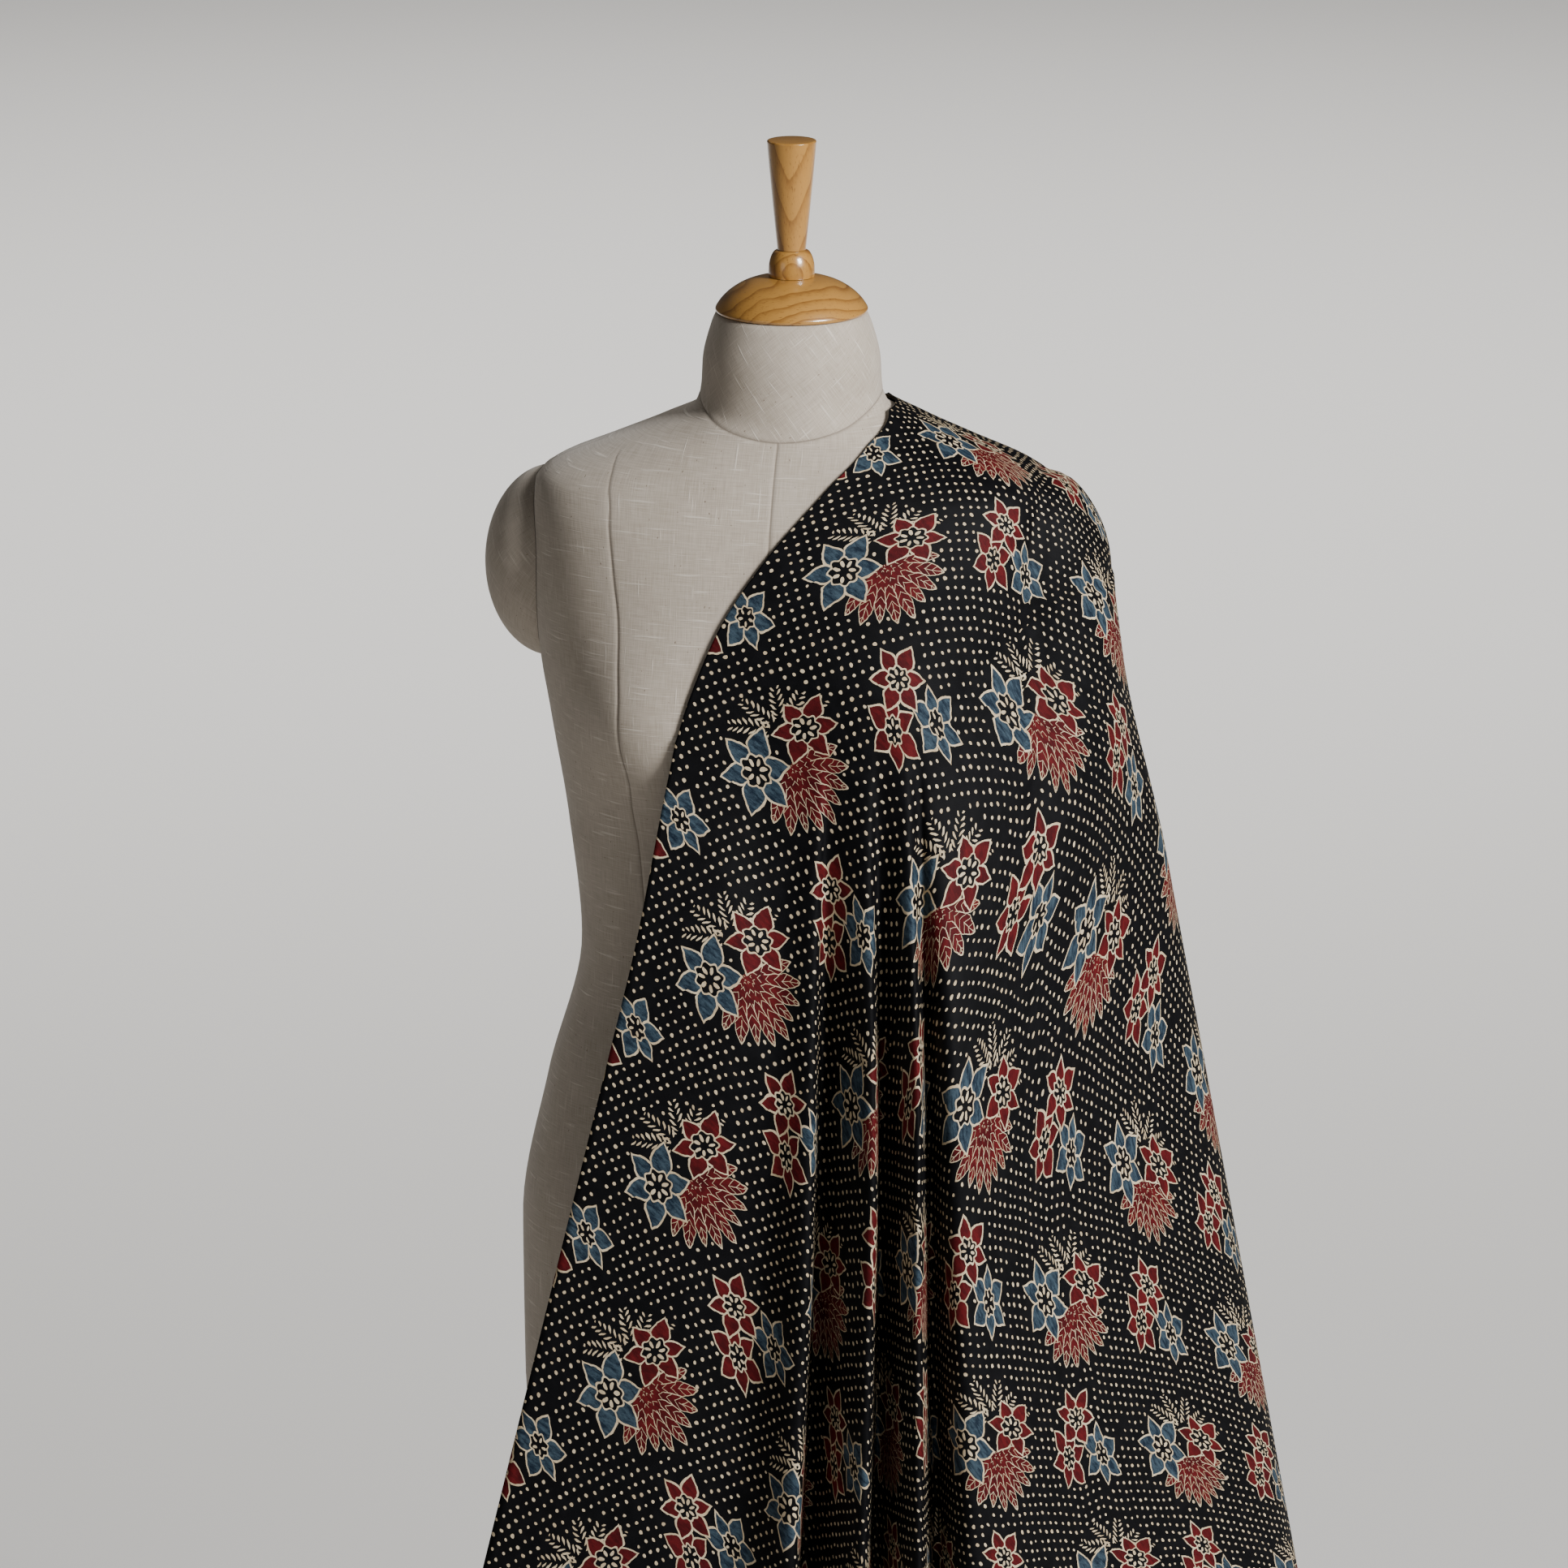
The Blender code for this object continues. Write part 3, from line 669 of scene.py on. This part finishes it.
plate_top = FORM_BOTTOM - TOUCH_GAP
plate_foot = plate_top - PLATE_THICKNESS
plate_profile = rod_profile(PLATE_RADIUS, plate_top, plate_foot, PLATE_EDGE)
stand_wood = wood_material(
    "stand_wood", (0.3, 0.5, 0.0), (0.3, 1.0, 1.0), 0.0, (180.0, 900.0, 900.0), 0.0080
)
turned_piece("base_board", plate_profile, stand_wood, "base_plate", 72, 1)
turned_piece("foot_turning", FOOT_PROFILE, stand_wood, "stand_foot", 120, 4)
turned_piece("collar_turning", COLLAR_PROFILE, handle_wood, "pole_collar", 64, 4)
pole_paint, pole_tree, pole_shader = new_material("black_paint", 0.4)
paint_grain = speckle(own_place(pole_tree), 900.0)
feed(pole_shader.inputs["Base Color"], blend_colours(paint_grain, PAINT_BLACK, PAINT_WORN))
feed(pole_shader.inputs["Roughness"], paint_grain * 0.25 + 0.28)
raised(pole_shader, paint_grain, 0.00005, 0.4)
pole_profile = rod_profile(POLE_RADIUS, plate_foot - TOUCH_GAP, COLLAR_TOP + TOUCH_GAP, POLE_EDGE)
turned_piece("pole_tube", pole_profile, pole_paint, "stand_pole", 48, 1)


# ---- Printed cloth
# One length of fine cotton, block-printed in madder and indigo over a dotted black ground. It lies over one
# shoulder and its arm cap and falls in soft folds to below the form, held by its weight alone.
CLOTH_THICKNESS, CLOTH_CLEARANCE, CLOTH_LIFT, ARM_EASE = 0.0006, 0.0026, 0.0025, 0.0030
ARM_BRIDGE, FALL_BRIDGE, SHOULDER_PLACE = 0.030, 0.006, 12
CLOTH_TOP, REACHES_FREE, WAIST, HEM_LEVEL = 1.4120, 1.220, 1.000, 0.350
# One row for each fall line, from the front edge round the side to the back edge: its direction round
# the form where the cloth leaves it, the height there, its place at the waist and at the hem, the height
# where its fold is fully formed, and the height of its hem
FALL_COLUMNS = ("name", "leaves_deg", "leaves", "waist_x", "waist_y", "hem_x", "hem_y", "formed", "hem")
FALL_LINES = (
    ("front_edge", -118.0, 1.215, -0.121, -0.148, -0.280, -0.190, 1.06, 0.362),
    ("front_panel", -104.0, 1.215, -0.052, -0.154, -0.150, -0.204, 1.06, 0.352),
    ("panel_turn", -85.0, 1.212, -0.010, -0.155, -0.062, -0.207, 0.96, 0.346),
    ("ridge_3", -78.0, 1.212, 0.017, -0.172, -0.016, -0.248, 0.84, 0.343),
    ("valley_3", -75.0, 1.212, 0.023, -0.142, -0.002, -0.176, 0.84, 0.346),
    ("ridge_2", -67.0, 1.215, 0.054, -0.183, 0.038, -0.268, 0.90, 0.342),
    ("valley_2", -64.0, 1.215, 0.060, -0.151, 0.052, -0.184, 0.90, 0.346),
    ("ridge_1", -59.0, 1.225, 0.081, -0.192, 0.084, -0.280, 0.96, 0.343),
    ("valley_1", -56.0, 1.225, 0.089, -0.164, 0.102, -0.200, 0.96, 0.347),
    ("bust_fall", -51.0, 1.225, 0.106, -0.188, 0.136, -0.275, 0.98, 0.345),
    ("side_front", -31.0, 1.270, 0.152, -0.142, 0.228, -0.202, 1.00, 0.352),
    ("side_hollow", -14.0, 1.295, 0.216, -0.078, 0.322, -0.116, 1.04, 0.360),
    ("side", 2.0, 1.305, 0.2670, -0.012, 0.3900, -0.028, 1.10, 0.362),
    ("side_back", 12.0, 1.300, 0.2590, 0.038, 0.3790, 0.058, 1.08, 0.360),
    ("back_hollow", 24.0, 1.280, 0.222, 0.084, 0.320, 0.128, 1.04, 0.358),
    ("back_ridge_1", 39.0, 1.260, 0.187, 0.140, 0.300, 0.240, 0.96, 0.350),
    ("back_valley_1", 48.0, 1.250, 0.157, 0.118, 0.238, 0.166, 0.96, 0.352),
    ("back_ridge_2", 60.0, 1.250, 0.112, 0.168, 0.164, 0.272, 0.92, 0.344),
    ("back_valley_2", 68.0, 1.250, 0.082, 0.140, 0.106, 0.180, 0.92, 0.348),
    ("back_ridge_3", 80.0, 1.250, 0.032, 0.174, 0.030, 0.266, 0.88, 0.344),
    ("back_valley_3", 87.0, 1.250, 0.008, 0.150, -0.024, 0.184, 0.88, 0.348),
    ("back_panel", 104.0, 1.240, -0.056, 0.156, -0.134, 0.214, 1.00, 0.352),
    ("back_edge", 119.0, 1.235, -0.122, 0.144, -0.236, 0.194, 1.02, 0.362),
)
# Where the cloth's two edges lie on the form: height, and the direction of the front and back edge
EDGE_LINES = (
    (1.210, -123.0, 121.0),
    (1.243, -119.5, 118.0),
    (1.283, -113.5, 113.0),
    (1.328, -100.0, 101.0),
    (1.373, -75.0, 79.0),
    (1.396, -52.0, 58.0),
    (1.405, -38.0, 42.0),
    (1.412, -20.0, 24.0),
)
FACES_A_LINE, SHOULDER_ROWS, HANGING_ROWS = 11, 56, 104


def ease(t):
    """A soft step from 0 to 1."""
    t = min(max(t, 0.0), 1.0)
    return t * t * (3.0 - 2.0 * t)


def softer_max(a, b, blend):
    """The larger of two lengths, rounded where they are within blend of each other."""
    overlap = max(blend - abs(a - b), 0.0)
    return max(a, b) + overlap * overlap / (4.0 * blend)


def arm_radius(direction, height):
    """Distance from the form's axis to the far side of the covered arm cap, or 0 where it misses."""
    turned = direction - FORM_TURN
    a, b, c = (radius + ARM_EASE for radius in ARM_RADII)
    level = 1.0 - ((height - ARM_CENTRE[2]) / c) ** 2
    if level <= 0.0:
        return 0.0
    cx, cy = ARM_CENTRE[0], ARM_CENTRE[1]
    square = (cos(turned) / a) ** 2 + (sin(turned) / b) ** 2
    linear = cos(turned) * cx / a**2 + sin(turned) * cy / b**2
    rest = (cx / a) ** 2 + (cy / b) ** 2 - level
    inside = linear**2 - square * rest
    return (linear + inside**0.5) / square if inside > 0.0 else 0.0


def cover_radius(direction, height):
    """The form and its arm cap as a cloth laid over them bridges them."""
    return softer_max(torso_radius(direction, height), arm_radius(direction, height), ARM_BRIDGE)


@lru_cache(maxsize=None)
def line_value(column, place):
    """One column of the fall lines, read between two lines by a curve through their neighbours."""
    k = FALL_COLUMNS.index(column)
    last = len(FALL_LINES) - 1
    i = min(int(place), last - 1)
    t = place - i
    rows = [FALL_LINES[min(max(i + step, 0), last)][k] for step in (-1, 0, 1, 2)]
    leave = 0.5 * (rows[2] - rows[0])
    arrive = 0.5 * (rows[3] - rows[1])
    start = rows[1] * (1.0 + 2.0 * t) + leave * t
    end = rows[2] * (3.0 - 2.0 * t) - arrive * (1.0 - t)
    return start * (1.0 - t) ** 2 + end * t * t


@lru_cache(maxsize=None)
def on_form(place, height):
    """Where the cloth lies on the form: the fall lines close up towards the neck."""
    front, back = (radians(value) for value in table_row(EDGE_LINES, height))
    first = FALL_LINES[0][1]
    final = FALL_LINES[-1][1]
    share = (line_value("leaves_deg", place) - first) / (final - first)
    direction = front + (back - front) * share
    radius = cover_radius(direction, height - CLOTH_LIFT) + CLOTH_CLEARANCE
    return Vector((radius * cos(direction), radius * sin(direction)))


def fall_line(place, height):
    """The straight line that a fold falls along, through its places at the waist and the hem."""
    t = (WAIST - height) / (WAIST - HEM_LEVEL)
    waist = Vector((line_value("waist_x", place), line_value("waist_y", place)))
    hem = Vector((line_value("hem_x", place), line_value("hem_y", place)))
    return waist.lerp(hem, t)


def cloth_point(place, level):
    """A point of the cloth: its place across, and its height before the hem is let down."""
    drop = (REACHES_FREE - level) / (REACHES_FREE - HEM_LEVEL)
    height = level + (line_value("hem", place) - HEM_LEVEL) * max(drop, 0.0)
    leaves = line_value("leaves", place)
    if height >= leaves:
        spot = on_form(place, height)
    else:
        hangs = ease((leaves - height) / (leaves - line_value("formed", place)))
        apart = on_form(place, leaves) - fall_line(place, leaves)
        spot = fall_line(place, height) + apart * (1.0 - hangs)
        if height > FORM_BOTTOM:
            reach = spot.length
            least = cover_radius(atan2(spot.y, spot.x), height) + CLOTH_CLEARANCE
            spot = spot * (softer_max(reach, least, FALL_BRIDGE) / reach)
    return Vector((spot.x, spot.y, height))


def cloth_levels():
    """Heights of the rows: evenly spaced along the path over the shoulder, then down to the hem."""
    samples = 600
    rise = CLOTH_TOP - REACHES_FREE
    heights = [CLOTH_TOP - rise * k / samples for k in range(samples + 1)]
    reaches = [on_form(SHOULDER_PLACE, height).length for height in heights]
    lengths = [0.0]
    for k in range(samples):
        lengths.append(lengths[-1] + hypot(reaches[k + 1] - reaches[k], heights[k + 1] - heights[k]))
    above = []
    for height, length in zip(heights, lengths):
        if len(above) < SHOULDER_ROWS and length >= lengths[-1] * len(above) / SHOULDER_ROWS - 1e-9:
            above.append(height)
    fall = REACHES_FREE - HEM_LEVEL
    return above + [REACHES_FREE - fall * k / HANGING_ROWS for k in range(HANGING_ROWS + 1)]


columns = [k / FACES_A_LINE for k in range(FACES_A_LINE * (len(FALL_LINES) - 1) + 1)]
levels = cloth_levels()
grid = [[cloth_point(place, level) for place in columns] for level in levels]

# The cloth laid flat: each column keeps its length down from the neck, and each row its length round it
NECK_POINT = Vector((0.060, 0.0, 1.412))
downs = []
for row, points in enumerate(grid):
    if row == 0:
        downs.append([(point - NECK_POINT).length for point in points])
    else:
        downs.append([downs[-1][k] + (points[k] - grid[row - 1][k]).length for k in range(len(columns))])
flat = []
for row, points in enumerate(grid):
    turn = 0.0
    line = [Vector((downs[row][0], 0.0))]
    for k in range(1, len(columns)):
        step = (points[k] - points[k - 1]).length
        deeper = downs[row][k] - downs[row][k - 1]
        turn += max(step**2 - deeper**2, 0.0) ** 0.5 / (0.5 * (downs[row][k] + downs[row][k - 1]))
        line.append(Vector((downs[row][k] * cos(turn), downs[row][k] * sin(turn))))
    flat.append(line)


def print_place(spot):
    """The dots of the print across and up at a flat place. The cloth hangs on the bias, which pulls it more
    the further down, and evenly round the back. The numbers are fitted to how it hangs."""
    far, turn = spot.length, atan2(spot.y, spot.x)
    side = -softer_max(-(turn - 0.70), -0.62, 0.50)
    low = far - 0.60
    pull = far**2 / (far**2 + 0.0625)
    bias = pull * low**2 * (1.0 - ease((turn - 1.20) / 0.80))
    across = 86.6 - 123.8 * spot.x + 152.5 * spot.y
    across += pull * (17.0 * side**2 - 24.0 * side * low + 9.6 * side**3 - 12.8 * side**2 * low)
    across -= bias * (78.0 + 124.0 * side)
    up = 96.1 - 122.7 * spot.x - 58.6 * spot.y
    up += pull * (31.0 * side**2 - 24.8 * side * low + 11.9 * side**3 - 0.8 * side**2 * low)
    up -= bias * (67.0 + 129.3 * side)
    return Vector((across, up))


last_column, last_row = len(columns) - 1, len(levels) - 1
sheet = bmesh.new()
bmesh.ops.create_grid(sheet, x_segments=last_column, y_segments=last_row, size=0.5)
lay = {}
for vertex in sheet.verts:
    column = round((vertex.co.x + 0.5) * last_column)
    row = round((0.5 - vertex.co.y) * last_row)
    lay[vertex] = print_place(flat[row][column])
    vertex.co = grid[row][column]
print_map = sheet.loops.layers.uv.new("print")
for face in sheet.faces:
    for loop in face.loops:
        loop[print_map].uv = lay[loop.vert]
cloth = add_piece("printed_cloth", sheet)
wall = cloth.modifiers.new("thickness", "SOLIDIFY")
wall.thickness = CLOTH_THICKNESS
wall.offset = 0.0
wall.use_even_offset = False


# The print, measured in dots of the ground. The motifs stand in a half-drop: a large one of two flowers, a
# fan of leaves and sprigs, and a small one of three flowers. Petals are pointed ovals set round a seeded
# eye, and leaves are wedges filled in herringbone. LINE is half the width of a drawn line.
REPEAT_ACROSS, REPEAT_DOWN = 32.0, 30.0
LINE = 0.095
CREAM_PALE, CREAM_WARM = (0.62, 0.515, 0.355), (0.46, 0.355, 0.220)
MADDER_DEEP, MADDER_BRIGHT = (0.040, 0.0030, 0.0042), (0.108, 0.0072, 0.0090)
INDIGO_DEEP, INDIGO_PALE = (0.0055, 0.0120, 0.0230), (0.046, 0.074, 0.098)
GROUND_BLACK, GROUND_WORN = (0.0015, 0.0015, 0.0021), (0.0036, 0.0036, 0.0046)
PLACE = (("Across", 0.0), ("Up", 0.0), ("Margin", 0.0))
PETALS, SPRIG_START, LEAFLET_STEP = 6.0, 1.7, 0.60


def flower_group():
    """A flower of six pointed petals round a scalloped eye with seeds in it."""
    shape = (("Reach", 3.5), ("Turn", 0.0), ("Lean", 0.0), ("Slim", 1.0), ("Eye", 1.3), ("Seeds", 7.0))
    group, takes, out = new_group("printed_flower", PLACE + shape, ("Cover", "Cream", "Dyed"))
    reach, eye, turn, margin = takes["Reach"], takes["Eye"], takes["Turn"], takes["Margin"]
    c, s = takes["Lean"].math("COSINE"), takes["Lean"].math("SINE")
    x = (takes["Across"] * c + takes["Up"] * s) / takes["Slim"]
    y = takes["Up"] * c - takes["Across"] * s
    far = (x * x + y * y).math("SQRT")
    angle = y.math("ARCTAN2", x) + takes["Lean"] - turn
    share = angle * (PETALS / (2.0 * pi))
    near = share.whole()
    off = (share - near) * (2.0 * pi / PETALS)
    long = reach * ((near * 2.3 + turn * 5.0).math("SINE") * 0.09 + 1.0)
    along, beside = far * off.math("COSINE"), (far * off.math("SINE")).size()
    t = ((along / long - 0.57) / 0.43).least(1.6)
    lens = (beside - long * (t * t * -1.0 + 1.0) * (t * -0.38 + 1.0) * 0.265) * 0.85
    petal = lens.most(beside * 0.866 - along * 0.5)
    rim = far - eye * ((angle * 8.0).math("COSINE") * 0.10 + 1.0)
    outside_eye = rim.above(LINE)
    seed_share = angle * takes["Seeds"] / (2.0 * pi)
    seed_off = (seed_share - seed_share.whole()) * (2.0 * pi) / takes["Seeds"]
    seed_x = (far * seed_off.math("COSINE") - eye * 0.57) / (eye * 0.25)
    seed_y = far * seed_off.math("SINE") / (eye * 0.125)
    seeds = (seed_x * seed_x + seed_y * seed_y).below(1.0)
    lines = (petal.size().below(LINE) * outside_eye).most(rim.size().below(LINE))
    feed(out.inputs["Cover"], (petal.least(rim) - margin).below(LINE))
    feed(out.inputs["Cream"], lines.most(seeds))
    feed(out.inputs["Dyed"], petal.below(-LINE) * outside_eye)
    return group


def fan_group():
    """Pointed leaves side by side in a fan, each with a midrib and cells in herringbone."""
    shape = (("First", 0.0), ("Step", 0.3), ("Last", 8.0))
    group, takes, out = new_group("printed_fan", PLACE + shape, ("Cover", "Cream"))
    x, y, margin = takes["Across"], takes["Up"], takes["Margin"]
    far = (x * x + y * y).math("SQRT")
    share = (y.math("ARCTAN2", x) - takes["First"]) / takes["Step"]
    leaf = share.whole().most(0.0).least(takes["Last"])
    off = (share - leaf).size() * 2.0
    half_leaf = far * (takes["Step"] * 0.5).math("SINE")
    edge = (leaf * 2.1).math("SINE") * 0.30 + 6.15 - off.power(1.3) * 1.75
    beside, to_side = off * half_leaf, (off * -1.0 + 1.0) * half_leaf
    uneven = (leaf * 3.7).math("SINE") * 0.35
    cells = ((far - beside * 1.3 + uneven) * 1.12).math("FRACT")
    lines = (far - edge).above(-0.09).most((to_side.size() - 0.040).below(0.0) * far.above(2.4))
    lines = lines.most(beside.below(0.024) * far.above(4.2)).most(cells.below(0.080))
    feed(out.inputs["Cover"], ((far - edge).most(to_side * -1.0) - margin).below(0.10))
    feed(out.inputs["Cream"], lines)
    return group


def sprig_group():
    """Pointed leaflets in two slanting rows along a stem that isn't printed itself."""
    shape = (("Turn", 0.0), ("Length", 5.0), ("Bend", 0.02))
    group, takes, out = new_group("printed_sprig", PLACE + shape, ("Cover", "Cream"))
    c, s = takes["Turn"].math("COSINE"), takes["Turn"].math("SINE")
    stem = takes["Across"] * c + takes["Up"] * s
    side = takes["Up"] * c - takes["Across"] * s - stem * stem * takes["Bend"]
    beside = side.size()
    inside = (stem - SPRIG_START).above(0.0) * (stem - takes["Length"]).below(0.0)
    wide = (takes["Length"] - stem) * 0.22 + 0.42
    step = (stem - beside * 0.85 + side.above(0.0) * 0.25) / LEAFLET_STEP
    across_leaf = (step.math("FRACT") - 0.5) * LEAFLET_STEP
    along_leaf = (beside - 0.11 - wide.least(0.72) * 0.5) / (wide.least(0.72) * 0.5)
    thick = (along_leaf * along_leaf * -1.0 + 1.0) * (along_leaf * 0.35 + 1.0) * 0.15
    leaflets = (across_leaf.size() - thick).below(0.0) * inside
    margin = takes["Margin"]
    reached = (stem - takes["Length"] - margin).below(0.0) * (stem - SPRIG_START + margin).above(0.0)
    feed(out.inputs["Cover"], (beside - margin - 0.72).below(0.0) * reached)
    feed(out.inputs["Cream"], leaflets)
    return group


def repeat_place(place, middle):
    """A spot's place in the motif whose middle is nearest, in a half-drop repeat."""
    half_across, half_down = REPEAT_ACROSS / 2.0, REPEAT_DOWN / 2.0
    i, j = (place[0] - middle[0]) * (1.0 / half_across), (place[1] - middle[1]) * (1.0 / half_down)
    s, t = (i + j) * 0.5, (i - j) * 0.5
    ds, dt = s - s.whole(), t - t.whole()
    return (ds + dt) * half_across + middle[0], (ds - dt) * half_down + middle[1]


def printed(group, place, at, margin, **values):
    """One printed shape, at a place in its motif."""
    node = place[0].tree.nodes.new("ShaderNodeGroup")
    node.node_tree = group
    values |= {"Across": place[0] - at[0], "Up": place[1] - at[1], "Margin": margin}
    for label, value in values.items():
        feed(node.inputs[label], value)
    return [Wire(socket) for socket in node.outputs]


# Where in the repeat the middle of each motif's own space lies
MOTIF_MIDDLES = {"large": (-2.4, -1.4), "small": (12.0, -0.6)}
# Flowers: motif, place across and up, reach, turn, the way it is slimmed, slimness, eye, seeds and dye
FLOWERS = (
    ("large", -7.2, -1.8, 4.05, -10.0, 0.0, 1.00, 1.50, 7.0, "indigo"),
    ("large", 0.0, 0.0, 4.00, -12.0, 90.0, 0.74, 1.60, 7.0, "madder"),
    ("small", 14.4, -3.0, 3.75, 30.0, 0.0, 0.74, 1.20, 5.0, "indigo"),
    ("small", 9.2, -2.7, 3.75, 72.0, -18.0, 0.72, 1.25, 6.0, "madder"),
    ("small", 11.4, 1.5, 3.15, -13.0, 0.0, 1.00, 1.15, 7.0, "madder"),
)
# Fan: its base, the directions of its first leaf and of each next one in degrees, and its last leaf
FAN_BASE, FAN_FIRST, FAN_STEP, FAN_LAST = (-3.3, -2.4), -141.0, 17.6, 8.0
# Sprigs: direction in degrees, length, and how they bend
SPRIG_BASE = (-2.4, 0.0)
SPRIGS = (
    (25.0, 6.0, -0.022), (49.0, 4.9, -0.022), (83.0, 4.8, -0.022), (114.0, 5.3, 0.030), (141.0, 6.0, 0.030),
)
# How far the hand strays from the block's lines and dots, the size of a dot, and its black margins
HAND_STRAY, DOT_STRAY, DOT_RADIUS, DOT_SPREAD = 0.42, 0.16, 0.142, 0.055
FLOWER_MARGIN, FAN_MARGIN, SPRIG_MARGIN = 0.42, 0.45, 0.30
print_finish, print_tree, print_shader = new_material("block_print", 0.66)
plain_across, plain_up = own_map(print_tree, "print")
hand = speckle((plain_across, plain_up), 0.9)
hand_x, hand_y, _ = three_numbers(hand.socket.node.outputs["Color"])
spot = (plain_across + (hand_x - 0.5) * HAND_STRAY, plain_up + (hand_y - 0.5) * HAND_STRAY)
wear = speckle((plain_across, plain_up, 4.0), 0.55, 4.0, 0.6)
brushed = speckle((plain_across * 1.6 + plain_up * 0.9, plain_up * 0.7, 9.0), 1.3, 5.0, 0.7)
grain = speckle((plain_across, plain_up, 2.0), 9.0)
ground_dye = blend_colours(wear.between(0.35, 0.75), GROUND_BLACK, GROUND_WORN)
cream_dye = blend_colours((wear + grain * 0.5 - 0.25).between(0.3, 0.7), CREAM_PALE, CREAM_WARM)
madder_tone = (brushed * 0.6 + wear * 0.4).between(0.35, 0.68)
madder_dye = blend_colours(madder_tone, MADDER_DEEP, MADDER_BRIGHT)
indigo_tone = (brushed * 0.85 + grain * 0.15).between(0.36, 0.66)
indigo_dye = blend_colours(indigo_tone, INDIGO_DEEP, INDIGO_PALE)
dyes = {"madder": madder_dye, "indigo": indigo_dye}
printed_flower, printed_fan, printed_sprig = flower_group(), fan_group(), sprig_group()


def flowers_at(places, margin):
    """The masks of each flower, with its dye."""
    for motif, x, y, reach, turn, lean, slim, eye, seeds, dye in FLOWERS:
        shape = {"Reach": reach, "Turn": radians(turn), "Lean": radians(lean), "Slim": slim}
        yield dye, printed(printed_flower, places[motif], (x, y), margin, **shape, Eye=eye, Seeds=seeds)


def sprigs_at(places, margin):
    """The masks of each sprig."""
    for direction, length, bend in SPRIGS:
        turned = {"Turn": radians(direction), "Length": length, "Bend": bend}
        yield printed(printed_sprig, places["large"], SPRIG_BASE, margin, **turned)


def fan_at(places, margin):
    """The masks of the fan."""
    spread = {"First": radians(FAN_FIRST), "Step": radians(FAN_STEP), "Last": FAN_LAST}
    return printed(printed_fan, places["large"], FAN_BASE, margin, **spread)


# The dots: a square field, a little uneven, left out where a motif and its black margin stand
dot = (plain_across.whole(), plain_up.whole())
chance = print_tree.nodes.new("ShaderNodeTexWhiteNoise")
chance.noise_dimensions = "2D"
feed(chance.inputs["Vector"], placed(*dot))
luck_x, luck_y, luck_size = three_numbers(chance.outputs["Color"])
off_x = spot[0] - dot[0] - (luck_x - 0.5) * DOT_STRAY
off_y = spot[1] - dot[1] - (luck_y - 0.5) * DOT_STRAY
from_dot = (off_x * off_x + off_y * off_y).math("SQRT")
dots = (from_dot - luck_size * DOT_SPREAD - DOT_RADIUS).below(0.0)
dot_places = {motif: repeat_place(dot, middle) for motif, middle in MOTIF_MIDDLES.items()}
cleared = fan_at(dot_places, FAN_MARGIN)[0]
for _, masks in flowers_at(dot_places, FLOWER_MARGIN):
    cleared = cleared.most(masks[0])
for masks in sprigs_at(dot_places, SPRIG_MARGIN):
    cleared = cleared.most(masks[0])
dots = dots * (cleared * -1.0 + 1.0)

places = {motif: repeat_place(spot, middle) for motif, middle in MOTIF_MIDDLES.items()}
colour = blend_colours(dots, ground_dye, cream_dye)
for _, cream in sprigs_at(places, 0.0):
    colour = blend_colours(cream, colour, cream_dye)
fan_cover, fan_cream = fan_at(places, 0.0)
fan_colour = blend_colours(fan_cream, madder_dye, cream_dye)
colour = blend_colours(fan_cover, colour, fan_colour)
for dye, (cover, cream, dyed) in flowers_at(places, 0.0):
    inner = blend_colours(dyed, ground_dye, dyes[dye])
    inner = blend_colours(cream, inner, cream_dye)
    colour = blend_colours(cover, colour, inner)
feed(print_shader.inputs["Base Color"], colour)
print_shader.inputs["Specular IOR Level"].default_value = 0.10
raised(print_shader, grain, 0.0003, 0.35)
cloth.data.materials.append(print_finish)
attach(cloth, "root")
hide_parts("ajrakh_cloth")
